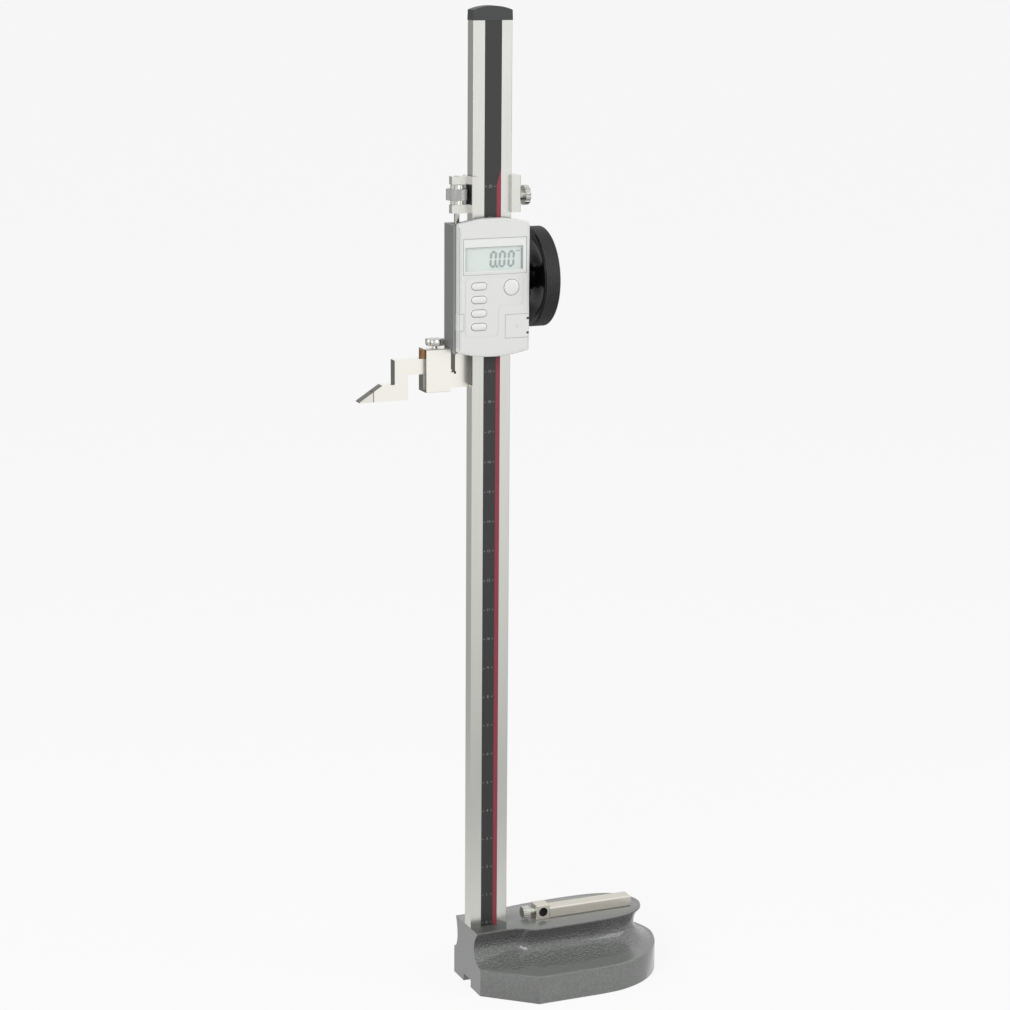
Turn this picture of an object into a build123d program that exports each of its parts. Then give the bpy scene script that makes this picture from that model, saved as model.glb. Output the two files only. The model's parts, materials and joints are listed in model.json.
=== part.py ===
from build123d import *
import os
from math import cos, pi, sin, tan, radians

# Digital height gauge with a handwheel, a fine-adjusting carrier and a cranked scriber.
# Millimetres, +Z up. The gauge stands on Z = 0. X runs along the base, Y from front to back.
# The origin lies midway between the scriber's tip and the base's nose, on the base's centre line.

# ---------------------------------------------------------------- driving dimensions
BASE_LENGTH = 175.0
BASE_HALF_WIDTH = 65.0
BASE_END_HALF_WIDTH = 30.0
RIM_HEIGHT = 24.3
DECK_HEIGHT = 53.75
SCRIBER_OVERHANG = 95.0          # from the base's left end to the scriber's tip
COLUMN_WIDTH = 34.0
COLUMN_DEPTH = 12.5
COLUMN_TOP = 824.5
CAP_HEIGHT = 11.5
SLIDER_BOTTOM = 555.8
SLIDER_TOP = 661.2
MODULE_WIDTH = 62.2
BAR_THICKNESS = 9.5              # scriber and jaw bars, front to back
BAR_HEIGHT = 12.7
STEM_HOLE_RADIUS = 4.03          # takes the 8 mm stem of a dial indicator
RUNNING = 0.3                    # gap between flat sliding faces
FIT = 0.05                       # radial clearance of a turning shaft
GEAR_MODULE = 0.8
PINION_TEETH = 14
WHEEL_RADIUS = 41.0

BASE_X = -(BASE_LENGTH + SCRIBER_OVERHANG) / 2 + SCRIBER_OVERHANG
COLUMN_X = BASE_X + COLUMN_WIDTH / 2
COLUMN_FRONT = -COLUMN_DEPTH / 2
COLUMN_BACK = COLUMN_DEPTH / 2
COLUMN_LEFT = COLUMN_X - COLUMN_WIDTH / 2
COLUMN_RIGHT = COLUMN_X + COLUMN_WIDTH / 2

os.makedirs("parts", exist_ok=True)


def save(part, name):
    part.label = name
    export_step(part, f"parts/{name}.step")


def block(low, high):
    """Adds a box between two opposite corners to the part that is being built."""
    with Locations(tuple((a + b) / 2 for a, b in zip(low, high))):
        Box(*(b - a for a, b in zip(low, high)))


def cut_block(low, high):
    """Cuts a box between two opposite corners from the part that is being built."""
    with Locations(tuple((a + b) / 2 for a, b in zip(low, high))):
        Box(*(b - a for a, b in zip(low, high)), mode=Mode.SUBTRACT)


def plane_x(x, y, z):
    """A sketch plane that faces +X, with its own x along +Y and its own y along +Z."""
    return Plane(origin=(x, y, z), x_dir=(0, 1, 0), z_dir=(1, 0, 0))


def plane_y(x, y, z):
    """A sketch plane that faces -Y, with its own x along +X and its own y along +Z."""
    return Plane(origin=(x, y, z), x_dir=(1, 0, 0), z_dir=(0, -1, 0))


def fluted_disc(radius, flutes, flute_radius):
    """Draws a disc with round flutes around its edge in the current sketch."""
    Circle(radius)
    with PolarLocations(radius + flute_radius * 0.45, flutes):
        Circle(flute_radius, mode=Mode.SUBTRACT)


# ---------------------------------------------------------------- base casting
# Half widths at the stations along the base, for the rim, the waist and the deck.
STATIONS = (0, 18, 36, 48, 62, 85, 110, 135)
RIM_WIDTHS = (29.4, 44.8, 60.0, 64.2, 64.4, 64.4, 63.0, 57.0)
WAIST_WIDTHS = (17.5, 17.5, 18.0, 22.5, 24.5, 25.0, 24.5, 21.0)
DECK_WIDTHS = (22.5, 22.5, 22.8, 27.0, 29.5, 30.0, 29.5, 26.0)
RIM_NOSE = BASE_LENGTH - 0.6
WAIST_NOSE = 156.0
DECK_NOSE = 161.0
WAIST_HEIGHT = 38.0
LIP_HEIGHT = DECK_HEIGHT - 1.2
COVE_STEPS = 7
GROOVE_WIDTH = 16.0
GROOVE_HEIGHT = 6.5
POCKET_DEPTH = 10.0
COLUMN_SCREW_PITCH = 18.0
SCREW_RADIUS = 3.0


def cove_sections():
    """Lists the cove's sections: height, share of the rim's outline and share of the deck's outline."""
    steps = [i / COVE_STEPS for i in range(COVE_STEPS + 1)]
    foot = RIM_HEIGHT - 0.4
    below = [(foot + (WAIST_HEIGHT - foot) * (1 - cos(pi / 2 * s)), 1 - sin(pi / 2 * s), 0) for s in steps]
    above = [(WAIST_HEIGHT + (LIP_HEIGHT - WAIST_HEIGHT) * s, 0, s * s) for s in steps[1:]]
    return below + above + [(DECK_HEIGHT, 0, 1)]


def cove_width(i, rim, deck):
    waist = WAIST_WIDTHS[i]
    return waist + rim * (RIM_WIDTHS[i] - waist) + deck * (DECK_WIDTHS[i] - waist)


with BuildPart() as base_casting:
    with BuildSketch():
        with BuildLine():
            flare = Polyline(
                (BASE_X, 0), (BASE_X, -BASE_END_HALF_WIDTH), (BASE_X + 40.4, -BASE_HALF_WIDTH),
                (BASE_X + 100, -BASE_HALF_WIDTH))
            Spline(flare @ 1, (BASE_X + 132.8, -58.7), (BASE_X + 155, -44.8), (BASE_X + 169.5, -22.5),
                   (BASE_X + BASE_LENGTH, 0), tangents=((1, 0), (0, 1)))
            mirror(about=Plane.XZ)
        make_face()
    extrude(amount=RIM_HEIGHT)
    for height, rim, deck in cove_sections():
        with BuildSketch(Plane.XY.offset(height)):
            nose = WAIST_NOSE + rim * (RIM_NOSE - WAIST_NOSE) + deck * (DECK_NOSE - WAIST_NOSE)
            front = [(BASE_X + x, -cove_width(i, rim, deck)) for i, x in enumerate(STATIONS)]
            back = [(x, -y) for x, y in reversed(front)]
            with BuildLine():
                Spline(front + [(BASE_X + nose, 0)] + back)
                Line(back[-1], front[0])
            make_face()
    loft(ruled=True)
    cut_block((BASE_X - 1, -GROOVE_WIDTH / 2, -1),
              (BASE_X + BASE_LENGTH + 1, GROOVE_WIDTH / 2, GROOVE_HEIGHT))
    cut_block((COLUMN_LEFT - 1, COLUMN_FRONT, DECK_HEIGHT - POCKET_DEPTH),
              (COLUMN_RIGHT, COLUMN_BACK, DECK_HEIGHT + 1))
    with BuildSketch(Plane.XY.offset(GROOVE_HEIGHT)):
        with Locations((COLUMN_X, 0)):
            with GridLocations(COLUMN_SCREW_PITCH, 1, 2, 1):
                Circle(5.5)
    extrude(amount=14, mode=Mode.SUBTRACT)
    with BuildSketch(Plane.XY.offset(GROOVE_HEIGHT)):
        with Locations((COLUMN_X, 0)):
            with GridLocations(COLUMN_SCREW_PITCH, 1, 2, 1):
                Circle(SCREW_RADIUS + 0.3)
    extrude(amount=DECK_HEIGHT, mode=Mode.SUBTRACT)
save(base_casting.part, "base_casting")

with BuildPart() as column_screws:
    for side in (-1, 1):
        x = COLUMN_X + side * COLUMN_SCREW_PITCH / 2
        with BuildSketch(Plane.XY.offset(GROOVE_HEIGHT + 8)):
            with Locations((x, 0)):
                Circle(5.0)
        extrude(amount=6)
        with BuildSketch(Plane.XY.offset(GROOVE_HEIGHT + 14)):
            with Locations((x, 0)):
                Circle(SCREW_RADIUS)
        extrude(amount=40)
        with BuildSketch(Plane.XY.offset(GROOVE_HEIGHT + 8)):
            with Locations((x, 0)):
                RegularPolygon(2.9, 6)
        extrude(amount=3, mode=Mode.SUBTRACT)
save(column_screws.part, "column_screws")

# ---------------------------------------------------------------- column, scale, rack and cap
COLUMN_FOOT = DECK_HEIGHT - POCKET_DEPTH
SCALE_LEFT = COLUMN_X - 7.0
SCALE_RIGHT = COLUMN_X + 7.8
SCALE_RECESS = 0.6
STRIP_THICKNESS = 0.4
RED_LEFT = COLUMN_X + 3.9
RED_TIP_LOW, RED_TIP_HIGH = 692.0, 706.5
RACK_WIDTH = 8.0
RACK_GROOVE = 3.8
RACK_BOTTOM, RACK_LENGTH_TEETH = 104.0, 254
DRIVE_Z = 614.0

with BuildPart() as column:
    block((COLUMN_LEFT, COLUMN_FRONT, COLUMN_FOOT), (COLUMN_RIGHT, COLUMN_BACK, COLUMN_TOP))
    chamfer(column.edges().filter_by(Axis.Z), 0.5)
    cut_block((SCALE_LEFT, COLUMN_FRONT - 1, DECK_HEIGHT),
              (SCALE_RIGHT, COLUMN_FRONT + SCALE_RECESS, COLUMN_TOP + 1))
    cut_block((COLUMN_X - RACK_WIDTH / 2, COLUMN_BACK - RACK_GROOVE, RACK_BOTTOM - 2),
              (COLUMN_X + RACK_WIDTH / 2, COLUMN_BACK + 1, COLUMN_TOP + 1))
    with BuildSketch(Plane.XY.offset(COLUMN_FOOT)):
        with Locations((COLUMN_X, 0)):
            with GridLocations(COLUMN_SCREW_PITCH, 1, 2, 1):
                Circle(SCREW_RADIUS + FIT)
    extrude(amount=18, mode=Mode.SUBTRACT)
save(column.part, "column")

with BuildPart() as scale_strip:
    block((SCALE_LEFT, COLUMN_FRONT + SCALE_RECESS - STRIP_THICKNESS, DECK_HEIGHT + 0.2),
          (SCALE_RIGHT, COLUMN_FRONT + SCALE_RECESS, COLUMN_TOP))
save(scale_strip.part, "scale_strip")

with BuildPart() as red_stripe:
    with BuildSketch(plane_y(0, COLUMN_FRONT + SCALE_RECESS - STRIP_THICKNESS, 0)):
        Polygon((RED_LEFT, DECK_HEIGHT + 0.2), (SCALE_RIGHT, DECK_HEIGHT + 0.2), (SCALE_RIGHT, RED_TIP_HIGH),
                (RED_LEFT, RED_TIP_LOW), align=None)
    extrude(amount=0.12)
save(red_stripe.part, "red_stripe")

PITCH = pi * GEAR_MODULE
PITCH_RADIUS = GEAR_MODULE * PINION_TEETH / 2
RACK_TIP_Y = COLUMN_BACK - 0.05
RACK_ROOT_Y = RACK_TIP_Y - 2.25 * GEAR_MODULE
DRIVE_Y = RACK_TIP_Y - GEAR_MODULE + PITCH_RADIUS + 0.12
SLOPE = tan(radians(20))
TOOTH_HALF = PITCH / 4 - 0.08

with BuildPart() as rack:
    # The gap between two teeth stands level with the pinion's axis at rest.
    first = DRIVE_Z - round((DRIVE_Z - RACK_BOTTOM) / PITCH) * PITCH
    tip, root = TOOTH_HALF - GEAR_MODULE * SLOPE, TOOTH_HALF + 1.25 * GEAR_MODULE * SLOPE
    flank = []
    for i in range(RACK_LENGTH_TEETH):
        z = first + (i + 0.5) * PITCH
        flank += [(RACK_ROOT_Y, z - root), (RACK_TIP_Y, z - tip), (RACK_TIP_Y, z + tip), (RACK_ROOT_Y, z + root)]
    foot, head = flank[0][1] - 1, flank[-1][1] + 1
    bottom_y = COLUMN_BACK - RACK_GROOVE
    with BuildSketch(plane_x(COLUMN_X - RACK_WIDTH / 2, 0, 0)):
        with BuildLine():
            Polyline((bottom_y, foot), (RACK_ROOT_Y, foot), *flank, (RACK_ROOT_Y, head), (bottom_y, head), close=True)
        make_face()
    extrude(amount=RACK_WIDTH)
save(rack.part, "rack")

with BuildPart() as column_cap:
    side = COLUMN_WIDTH / 2 + 0.2
    with BuildSketch(plane_y(COLUMN_X, COLUMN_FRONT - 0.2, COLUMN_TOP)):
        with BuildLine():
            crown = ThreePointArc((-side + 0.3, CAP_HEIGHT - 3.2), (0, CAP_HEIGHT), (side - 0.3, CAP_HEIGHT - 3.2))
            Polyline(crown @ 0, (-side, 0), (side, 0), crown @ 1)
        make_face()
    extrude(amount=-(COLUMN_DEPTH + 0.4))
    fillet(column_cap.faces().sort_by(Axis.Z)[-1].edges(), 0.5)
save(column_cap.part, "column_cap")

# ---------------------------------------------------------------- slider frame and back plate
FRAME_LEFT = COLUMN_X - 33.5
FRAME_RIGHT = COLUMN_X + 24.0
FRAME_BACK = 15.8
FRAME_FRONT = -4.8
PLATE_FRONT = -10.0
CHANNEL_LEFT = COLUMN_LEFT - RUNNING
CHANNEL_RIGHT = COLUMN_RIGHT + RUNNING
CHANNEL_FRONT = COLUMN_FRONT - RUNNING
CHANNEL_BACK = COLUMN_BACK + RUNNING
GIB_THICKNESS = 1.8
GIB_Z = (SLIDER_BOTTOM + 8, SLIDER_TOP - 8)
GIB_SCREW_HEIGHTS = (SLIDER_BOTTOM + 20, (SLIDER_BOTTOM + SLIDER_TOP) / 2 - 8, SLIDER_TOP - 20)
ROD_X = COLUMN_X - 28.6
ROD_RADIUS = 2.2
STOP_HOLE = (ROD_X, 6.8)              # a deep hole for a stop screw beside the feed rod
STOP_HOLE_RADIUS = 2.4
JAW_Y = (2.7, 2.7 + BAR_THICKNESS)
JAW_LEG_X = (COLUMN_X - 28.7, COLUMN_LEFT - RUNNING - 0.1)
JAW_BOTTOM = 526.3
JAW_LEG_TOP = 578.0
JAW_SCREW_HEIGHTS = (562.0, 572.0)
JAW_SCREW_X = (JAW_LEG_X[0] + JAW_LEG_X[1]) / 2
FLANGE_Y = 11.8
FLANGE_LEFT = COLUMN_X - 24.5
BACK_SCREWS = [(x, z) for x in (COLUMN_X - 21.5, COLUMN_X + 21.2) for z in (590.0, 650.0)]

with BuildPart() as slider_frame:
    block((FRAME_LEFT, FRAME_FRONT, SLIDER_BOTTOM), (CHANNEL_LEFT, FRAME_BACK, SLIDER_TOP))
    chamfer(slider_frame.edges().filter_by(Axis.Z).group_by(Axis.X)[0], 1.1)
    block((FRAME_LEFT + 3.5, PLATE_FRONT, SLIDER_BOTTOM + 5), (FRAME_RIGHT, CHANNEL_FRONT, SLIDER_TOP - 4))
    block((FRAME_LEFT + 3.5, CHANNEL_FRONT, SLIDER_BOTTOM + 5), (CHANNEL_LEFT, FRAME_FRONT, SLIDER_TOP - 4))
    block((CHANNEL_RIGHT, CHANNEL_FRONT, SLIDER_BOTTOM + 5), (FRAME_RIGHT, CHANNEL_BACK, SLIDER_TOP - 4))
    # pocket for the gib, window for the reader head, slot for the jaw's leg, rebate for the back plate
    cut_block((CHANNEL_RIGHT - 0.1, -3.0, GIB_Z[0] - 0.2), (COLUMN_RIGHT + GIB_THICKNESS + 0.2, 3.0, GIB_Z[1] + 0.2))
    cut_block((COLUMN_X - 9, PLATE_FRONT - 1, 588), (COLUMN_X + 9, CHANNEL_FRONT + 1, 642))
    cut_block((JAW_LEG_X[0], JAW_Y[0], SLIDER_BOTTOM - 1), (CHANNEL_LEFT + 1, JAW_Y[1], JAW_LEG_TOP))
    cut_block((FLANGE_LEFT, FLANGE_Y, 580), (CHANNEL_LEFT + 1, FRAME_BACK + 1, SLIDER_TOP + 1))
    with BuildSketch(Plane.XY.offset(SLIDER_TOP)):
        with Locations((ROD_X, 0)):
            Circle(ROD_RADIUS)
        with Locations(STOP_HOLE):
            Circle(STOP_HOLE_RADIUS)
    extrude(amount=-22, mode=Mode.SUBTRACT)
    with BuildSketch(plane_x(CHANNEL_RIGHT, 0, 0)):
        with Locations(*[(0, z) for z in GIB_SCREW_HEIGHTS]):
            Circle(1.5 + FIT)
    extrude(amount=10, mode=Mode.SUBTRACT)
    with BuildSketch(plane_y(0, FRAME_BACK, 0)):
        with Locations(*[(JAW_SCREW_X, z) for z in JAW_SCREW_HEIGHTS]):
            Circle(2.0 + FIT)
    extrude(amount=FRAME_BACK - JAW_Y[1] + 1, mode=Mode.SUBTRACT)
    with BuildSketch(plane_y(0, FRAME_BACK, 0)):
        with Locations(*[(JAW_SCREW_X, z) for z in JAW_SCREW_HEIGHTS]):
            Circle(3.4)
    extrude(amount=2, mode=Mode.SUBTRACT)
    with BuildSketch(plane_y(0, FLANGE_Y, 0)):
        with Locations(*BACK_SCREWS):
            Circle(1.5)
    extrude(amount=10, mode=Mode.SUBTRACT)
save(slider_frame.part, "slider_frame")

BUSH_RADIUS = 4.2
PINION_WIDTH = 8.0
SHAFT_RADIUS = 3.0
HOUSING_HALF_HEIGHT = 12.0
HOUSING_BACK = 19.5

with BuildPart() as slider_back_plate:
    block((CHANNEL_LEFT + 0.1, CHANNEL_BACK, SLIDER_BOTTOM), (FRAME_RIGHT, FRAME_BACK, SLIDER_TOP))
    block((FLANGE_LEFT + 0.1, FLANGE_Y, 580.1), (CHANNEL_LEFT + 0.1, FRAME_BACK, SLIDER_TOP))
    with BuildSketch(plane_x(CHANNEL_LEFT + 2, 0, DRIVE_Z)):
        with BuildLine():
            arc = ThreePointArc((FRAME_BACK, -HOUSING_HALF_HEIGHT), (HOUSING_BACK, 0), (FRAME_BACK, HOUSING_HALF_HEIGHT))
            Polyline(arc @ 0, (FRAME_BACK - 2, -HOUSING_HALF_HEIGHT), (FRAME_BACK - 2, HOUSING_HALF_HEIGHT), arc @ 1)
        make_face()
    extrude(amount=FRAME_RIGHT - CHANNEL_LEFT - 2)
    with BuildSketch(plane_x(COLUMN_X - PINION_WIDTH / 2 - 0.5, DRIVE_Y, DRIVE_Z)):
        Circle(PITCH_RADIUS + GEAR_MODULE + 0.6)
    extrude(amount=PINION_WIDTH + 1, mode=Mode.SUBTRACT)
    cut_block((COLUMN_X - PINION_WIDTH / 2 - 0.5, CHANNEL_BACK - 1, DRIVE_Z - 6),
              (COLUMN_X + PINION_WIDTH / 2 + 0.5, DRIVE_Y, DRIVE_Z + 6))
    with BuildSketch(plane_x(COLUMN_X - 12, DRIVE_Y, DRIVE_Z)):
        Circle(BUSH_RADIUS)
    extrude(amount=FRAME_RIGHT - COLUMN_X + 13, mode=Mode.SUBTRACT)
    with BuildSketch(plane_y(0, FRAME_BACK, 0)):
        with Locations(*BACK_SCREWS):
            Circle(3.2)
    extrude(amount=2.2, mode=Mode.SUBTRACT)
    with BuildSketch(plane_y(0, FRAME_BACK, 0)):
        with Locations(*BACK_SCREWS):
            Circle(1.7)
    extrude(amount=FRAME_BACK, mode=Mode.SUBTRACT)
save(slider_back_plate.part, "slider_back_plate")

with BuildPart() as back_plate_screws:
    for x, z in BACK_SCREWS:
        with BuildSketch(plane_y(x, FRAME_BACK - 0.2, z)):
            Circle(3.0)
            RegularPolygon(1.5, 6, mode=Mode.SUBTRACT)
        extrude(amount=2.0)
        with BuildSketch(plane_y(x, FRAME_BACK - 1.6, z)):
            Circle(1.45)
        extrude(amount=FRAME_BACK - 1.6 - 3.0)
save(back_plate_screws.part, "back_plate_screws")

with BuildPart() as gib_strip:
    block((COLUMN_RIGHT + 0.1, -2.8, GIB_Z[0]), (COLUMN_RIGHT + GIB_THICKNESS, 2.8, GIB_Z[1]))
save(gib_strip.part, "gib_strip")

with BuildPart() as gib_screws:
    for z in GIB_SCREW_HEIGHTS:
        with BuildSketch(plane_x(COLUMN_RIGHT + GIB_THICKNESS + 0.05, 0, z)):
            Circle(1.5)
        extrude(amount=FRAME_RIGHT - COLUMN_RIGHT - GIB_THICKNESS - 0.4)
        with BuildSketch(plane_x(FRAME_RIGHT - 1.5, 0, z)):
            RegularPolygon(0.85, 6)
        extrude(amount=2, mode=Mode.SUBTRACT)
save(gib_screws.part, "gib_screws")

with BuildPart() as shaft_bushes:
    for start, length in ((COLUMN_X - 12, 7.2), (COLUMN_X + 4.8, 19.2)):
        with BuildSketch(plane_x(start, DRIVE_Y, DRIVE_Z)):
            Circle(BUSH_RADIUS)
            Circle(SHAFT_RADIUS + FIT, mode=Mode.SUBTRACT)
        extrude(amount=length)
save(shaft_bushes.part, "shaft_bushes")

with BuildPart() as feed_rod:
    with BuildSketch(Plane.XY.offset(SLIDER_TOP - 21.5)):
        with Locations((ROD_X, 0)):
            Circle(ROD_RADIUS)
    extrude(amount=58.5)
    chamfer(feed_rod.faces().sort_by(Axis.Z)[-1].edges(), 0.5)
save(feed_rod.part, "feed_rod")

# ---------------------------------------------------------------- measuring jaw
JAW_TOP = JAW_BOTTOM + BAR_HEIGHT
JAW_TIP_X = COLUMN_X - 57.0

with BuildPart() as jaw_arm:
    with BuildSketch(plane_y(0, JAW_Y[0], 0)):
        with BuildLine():
            Polyline((JAW_TIP_X, JAW_BOTTOM), (JAW_LEG_X[1], JAW_BOTTOM), (JAW_LEG_X[1], JAW_LEG_TOP - 0.1),
                     (JAW_LEG_X[0] + 0.1, JAW_LEG_TOP - 0.1), (JAW_LEG_X[0] + 0.1, JAW_TOP),
                     (JAW_TIP_X, JAW_TOP), close=True)
        make_face()
        with Locations((JAW_LEG_X[0] + 0.1, JAW_TOP)):
            Circle(0.9, mode=Mode.SUBTRACT)
    extrude(amount=-BAR_THICKNESS)
    chamfer(jaw_arm.faces().sort_by(Axis.X)[0].edges(), 0.5)
    with BuildSketch(plane_y(0, JAW_Y[1], 0)):
        with Locations(*[(JAW_SCREW_X, z) for z in JAW_SCREW_HEIGHTS]):
            Circle(2.0 + FIT)
    extrude(amount=7, mode=Mode.SUBTRACT)
save(jaw_arm.part, "jaw_arm")

with BuildPart() as jaw_screws:
    for z in JAW_SCREW_HEIGHTS:
        with BuildSketch(plane_y(JAW_SCREW_X, FRAME_BACK - 0.1, z)):
            Circle(3.3)
            RegularPolygon(1.6, 6, mode=Mode.SUBTRACT)
        extrude(amount=1.8)
        with BuildSketch(plane_y(JAW_SCREW_X, FRAME_BACK - 1.5, z)):
            Circle(2.0)
        extrude(amount=8)
save(jaw_screws.part, "jaw_screws")

# ---------------------------------------------------------------- display module
MODULE_LEFT = COLUMN_X - 33.5
MODULE_X = MODULE_LEFT + MODULE_WIDTH / 2
MODULE_FRONT = -18.0
BEZEL_BACK = -11.4
WALL = 2.0
MODULE_BOTTOM, MODULE_BOTTOM_CROWN = 557.8, 553.5
MODULE_TOP, MODULE_TOP_CROWN = 662.8, 667.0
WINDOW_X = (COLUMN_X - 29.7, COLUMN_X + 25.7)
WINDOW_Z = (621.6, 650.9)
LCD_X = (COLUMN_X - 28.1, COLUMN_X + 22.7)
LCD_Z = (624.6, 644.1)
LINE_WIDTH, LINE_DEPTH = 0.5, 0.3     # engraved lines on the bezel
RIM_LINE_INSET = 1.4
KEYPAD_X = (COLUMN_X - 28.2, COLUMN_X + 1.4, COLUMN_X + 23.2)
KEYPAD_Z = (570.2, 595.2, 619.6)
KEYPAD_CORNER = 4.0
KEY_X = COLUMN_X - 16.0
KEY_HEIGHTS = {"key_unit": 612.2, "key_zero": 601.1, "key_up": 590.0, "key_down": 578.9}
KEY_LENGTH, KEY_WIDTH = 12.8, 5.6
POWER_KEY = (COLUMN_X + 12.5, 610.2)
POWER_KEY_RADIUS = 6.4
KEY_GAP = 0.25
HATCH_X = COLUMN_X + 7.3
HATCH_Z = (568.3, 587.7)
PORT_RIGHT = COLUMN_X - 29.3
PORT_Z = (576.4, 589.9)
CASE_POSTS = [(MODULE_LEFT + 6, 563.5), (MODULE_X + 6, 561.0), (MODULE_LEFT + 6, 656.5),
              (MODULE_LEFT + MODULE_WIDTH - 6, 656.0)]


def module_outline(inset=0.0):
    """Returns the display module's outline, with its arched top and bottom."""
    half = MODULE_WIDTH / 2 - inset
    with BuildSketch() as outline:
        with BuildLine():
            top = ThreePointArc((-half, MODULE_TOP - inset), (0, MODULE_TOP_CROWN - inset),
                                (half, MODULE_TOP - inset))
            low = ThreePointArc((half, MODULE_BOTTOM + inset), (0, MODULE_BOTTOM_CROWN + inset),
                                (-half, MODULE_BOTTOM + inset))
            Line(top @ 1, low @ 0)
            Line(low @ 1, top @ 0)
        make_face()
    return outline.sketch


with BuildPart() as front_bezel:
    with BuildSketch(plane_y(MODULE_X, BEZEL_BACK, 0)):
        add(module_outline())
    extrude(amount=BEZEL_BACK - MODULE_FRONT)
    fillet(front_bezel.edges().filter_by(Axis.Y), 2.0)
    fillet(front_bezel.faces().sort_by(Axis.Y)[0].edges(), 1.0)
    with BuildSketch(plane_y(MODULE_X, BEZEL_BACK, 0)):
        add(module_outline(WALL))
    extrude(amount=BEZEL_BACK - MODULE_FRONT - WALL, mode=Mode.SUBTRACT)
    with BuildSketch(plane_y(0, BEZEL_BACK, 0)):
        with Locations(*CASE_POSTS):
            Circle(2.6)
    extrude(amount=BEZEL_BACK - MODULE_FRONT - WALL)
    with BuildSketch(plane_y(0, BEZEL_BACK, 0)):
        with Locations(*CASE_POSTS):
            Circle(1.05)
    extrude(amount=3.8, mode=Mode.SUBTRACT)
    # window with a seat for the lens, then the keys' holes
    cut_block((LCD_X[0], MODULE_FRONT - 1, LCD_Z[0]), (LCD_X[1], BEZEL_BACK + 1, LCD_Z[1]))
    cut_block((WINDOW_X[0], MODULE_FRONT - 1, WINDOW_Z[0]), (WINDOW_X[1], MODULE_FRONT + 1.4, WINDOW_Z[1]))
    with BuildSketch(plane_y(0, MODULE_FRONT + WALL, 0)):
        with Locations(*[(KEY_X, z) for z in KEY_HEIGHTS.values()]):
            SlotOverall(KEY_LENGTH + 2 * KEY_GAP, KEY_WIDTH + 2 * KEY_GAP)
        with Locations(POWER_KEY):
            Circle(POWER_KEY_RADIUS + KEY_GAP)
    extrude(amount=WALL + 1, mode=Mode.SUBTRACT)
    # engraved lines: one round the face, one round the keys
    with BuildSketch(plane_y(MODULE_X, MODULE_FRONT + LINE_DEPTH, 0)):
        add(module_outline(RIM_LINE_INSET))
        add(module_outline(RIM_LINE_INSET + LINE_WIDTH), mode=Mode.SUBTRACT)
    extrude(amount=LINE_DEPTH + 1, mode=Mode.SUBTRACT)
    with BuildSketch(plane_y(0, MODULE_FRONT + LINE_DEPTH, 0)):
        with BuildLine():
            FilletPolyline((KEYPAD_X[0], KEYPAD_Z[0]), (KEYPAD_X[1], KEYPAD_Z[0]), (KEYPAD_X[1], KEYPAD_Z[1]),
                           (KEYPAD_X[2], KEYPAD_Z[1]), (KEYPAD_X[2], KEYPAD_Z[2]), (KEYPAD_X[0], KEYPAD_Z[2]),
                           radius=KEYPAD_CORNER, close=True)
        make_face()
        offset(amount=-LINE_WIDTH, mode=Mode.SUBTRACT)
    extrude(amount=LINE_DEPTH + 1, mode=Mode.SUBTRACT)
    # battery opening, through the front and the right wall, and the data port in the left wall
    cut_block((HATCH_X, MODULE_FRONT - 1, HATCH_Z[0]), (MODULE_LEFT + MODULE_WIDTH + 1, BEZEL_BACK - 0.8, HATCH_Z[1]))
    cut_block((MODULE_LEFT - 1, MODULE_FRONT - 1, PORT_Z[0]), (PORT_RIGHT, BEZEL_BACK - 1.2, PORT_Z[1]))
save(front_bezel.part, "front_bezel")

with BuildPart() as display_window:
    block((WINDOW_X[0] + 0.1, MODULE_FRONT + 0.1, WINDOW_Z[0] + 0.1),
          (WINDOW_X[1] - 0.1, MODULE_FRONT + 1.4, WINDOW_Z[1] - 0.1))
save(display_window.part, "display_window")

with BuildPart() as lcd_panel:
    block((LCD_X[0] - 0.6, MODULE_FRONT + WALL + 0.05, LCD_Z[0] - 0.6),
          (LCD_X[1] + 0.6, MODULE_FRONT + WALL + 2.0, LCD_Z[1] + 0.6))
save(lcd_panel.part, "lcd_panel")

with BuildPart() as key_mat:
    with BuildSketch(plane_y(0, -13.5, 0)):
        with Locations((COLUMN_X - 2.0, 596.0)):
            RectangleRounded(46.0, 47.0, 3.0)
        with Locations((COLUMN_X + 14.0, 583.0)):
            Rectangle(24.0, 26.0, mode=Mode.SUBTRACT)
    extrude(amount=0.9)
save(key_mat.part, "key_mat")

with BuildPart() as circuit_board:
    with BuildSketch(plane_y(0, -11.9, 0)):
        with Locations((COLUMN_X - 2.4, 610.0)):
            Rectangle(54.0, 84.0)
        with Locations((COLUMN_X + 16.0, 576.0)):
            Rectangle(24.0, 26.0, mode=Mode.SUBTRACT)
    extrude(amount=1.4)
    cut_block((MODULE_LEFT, -14, PORT_Z[0] - 1), (PORT_RIGHT + 5.5, -11, PORT_Z[1] + 1))
save(circuit_board.part, "circuit_board")

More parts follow.
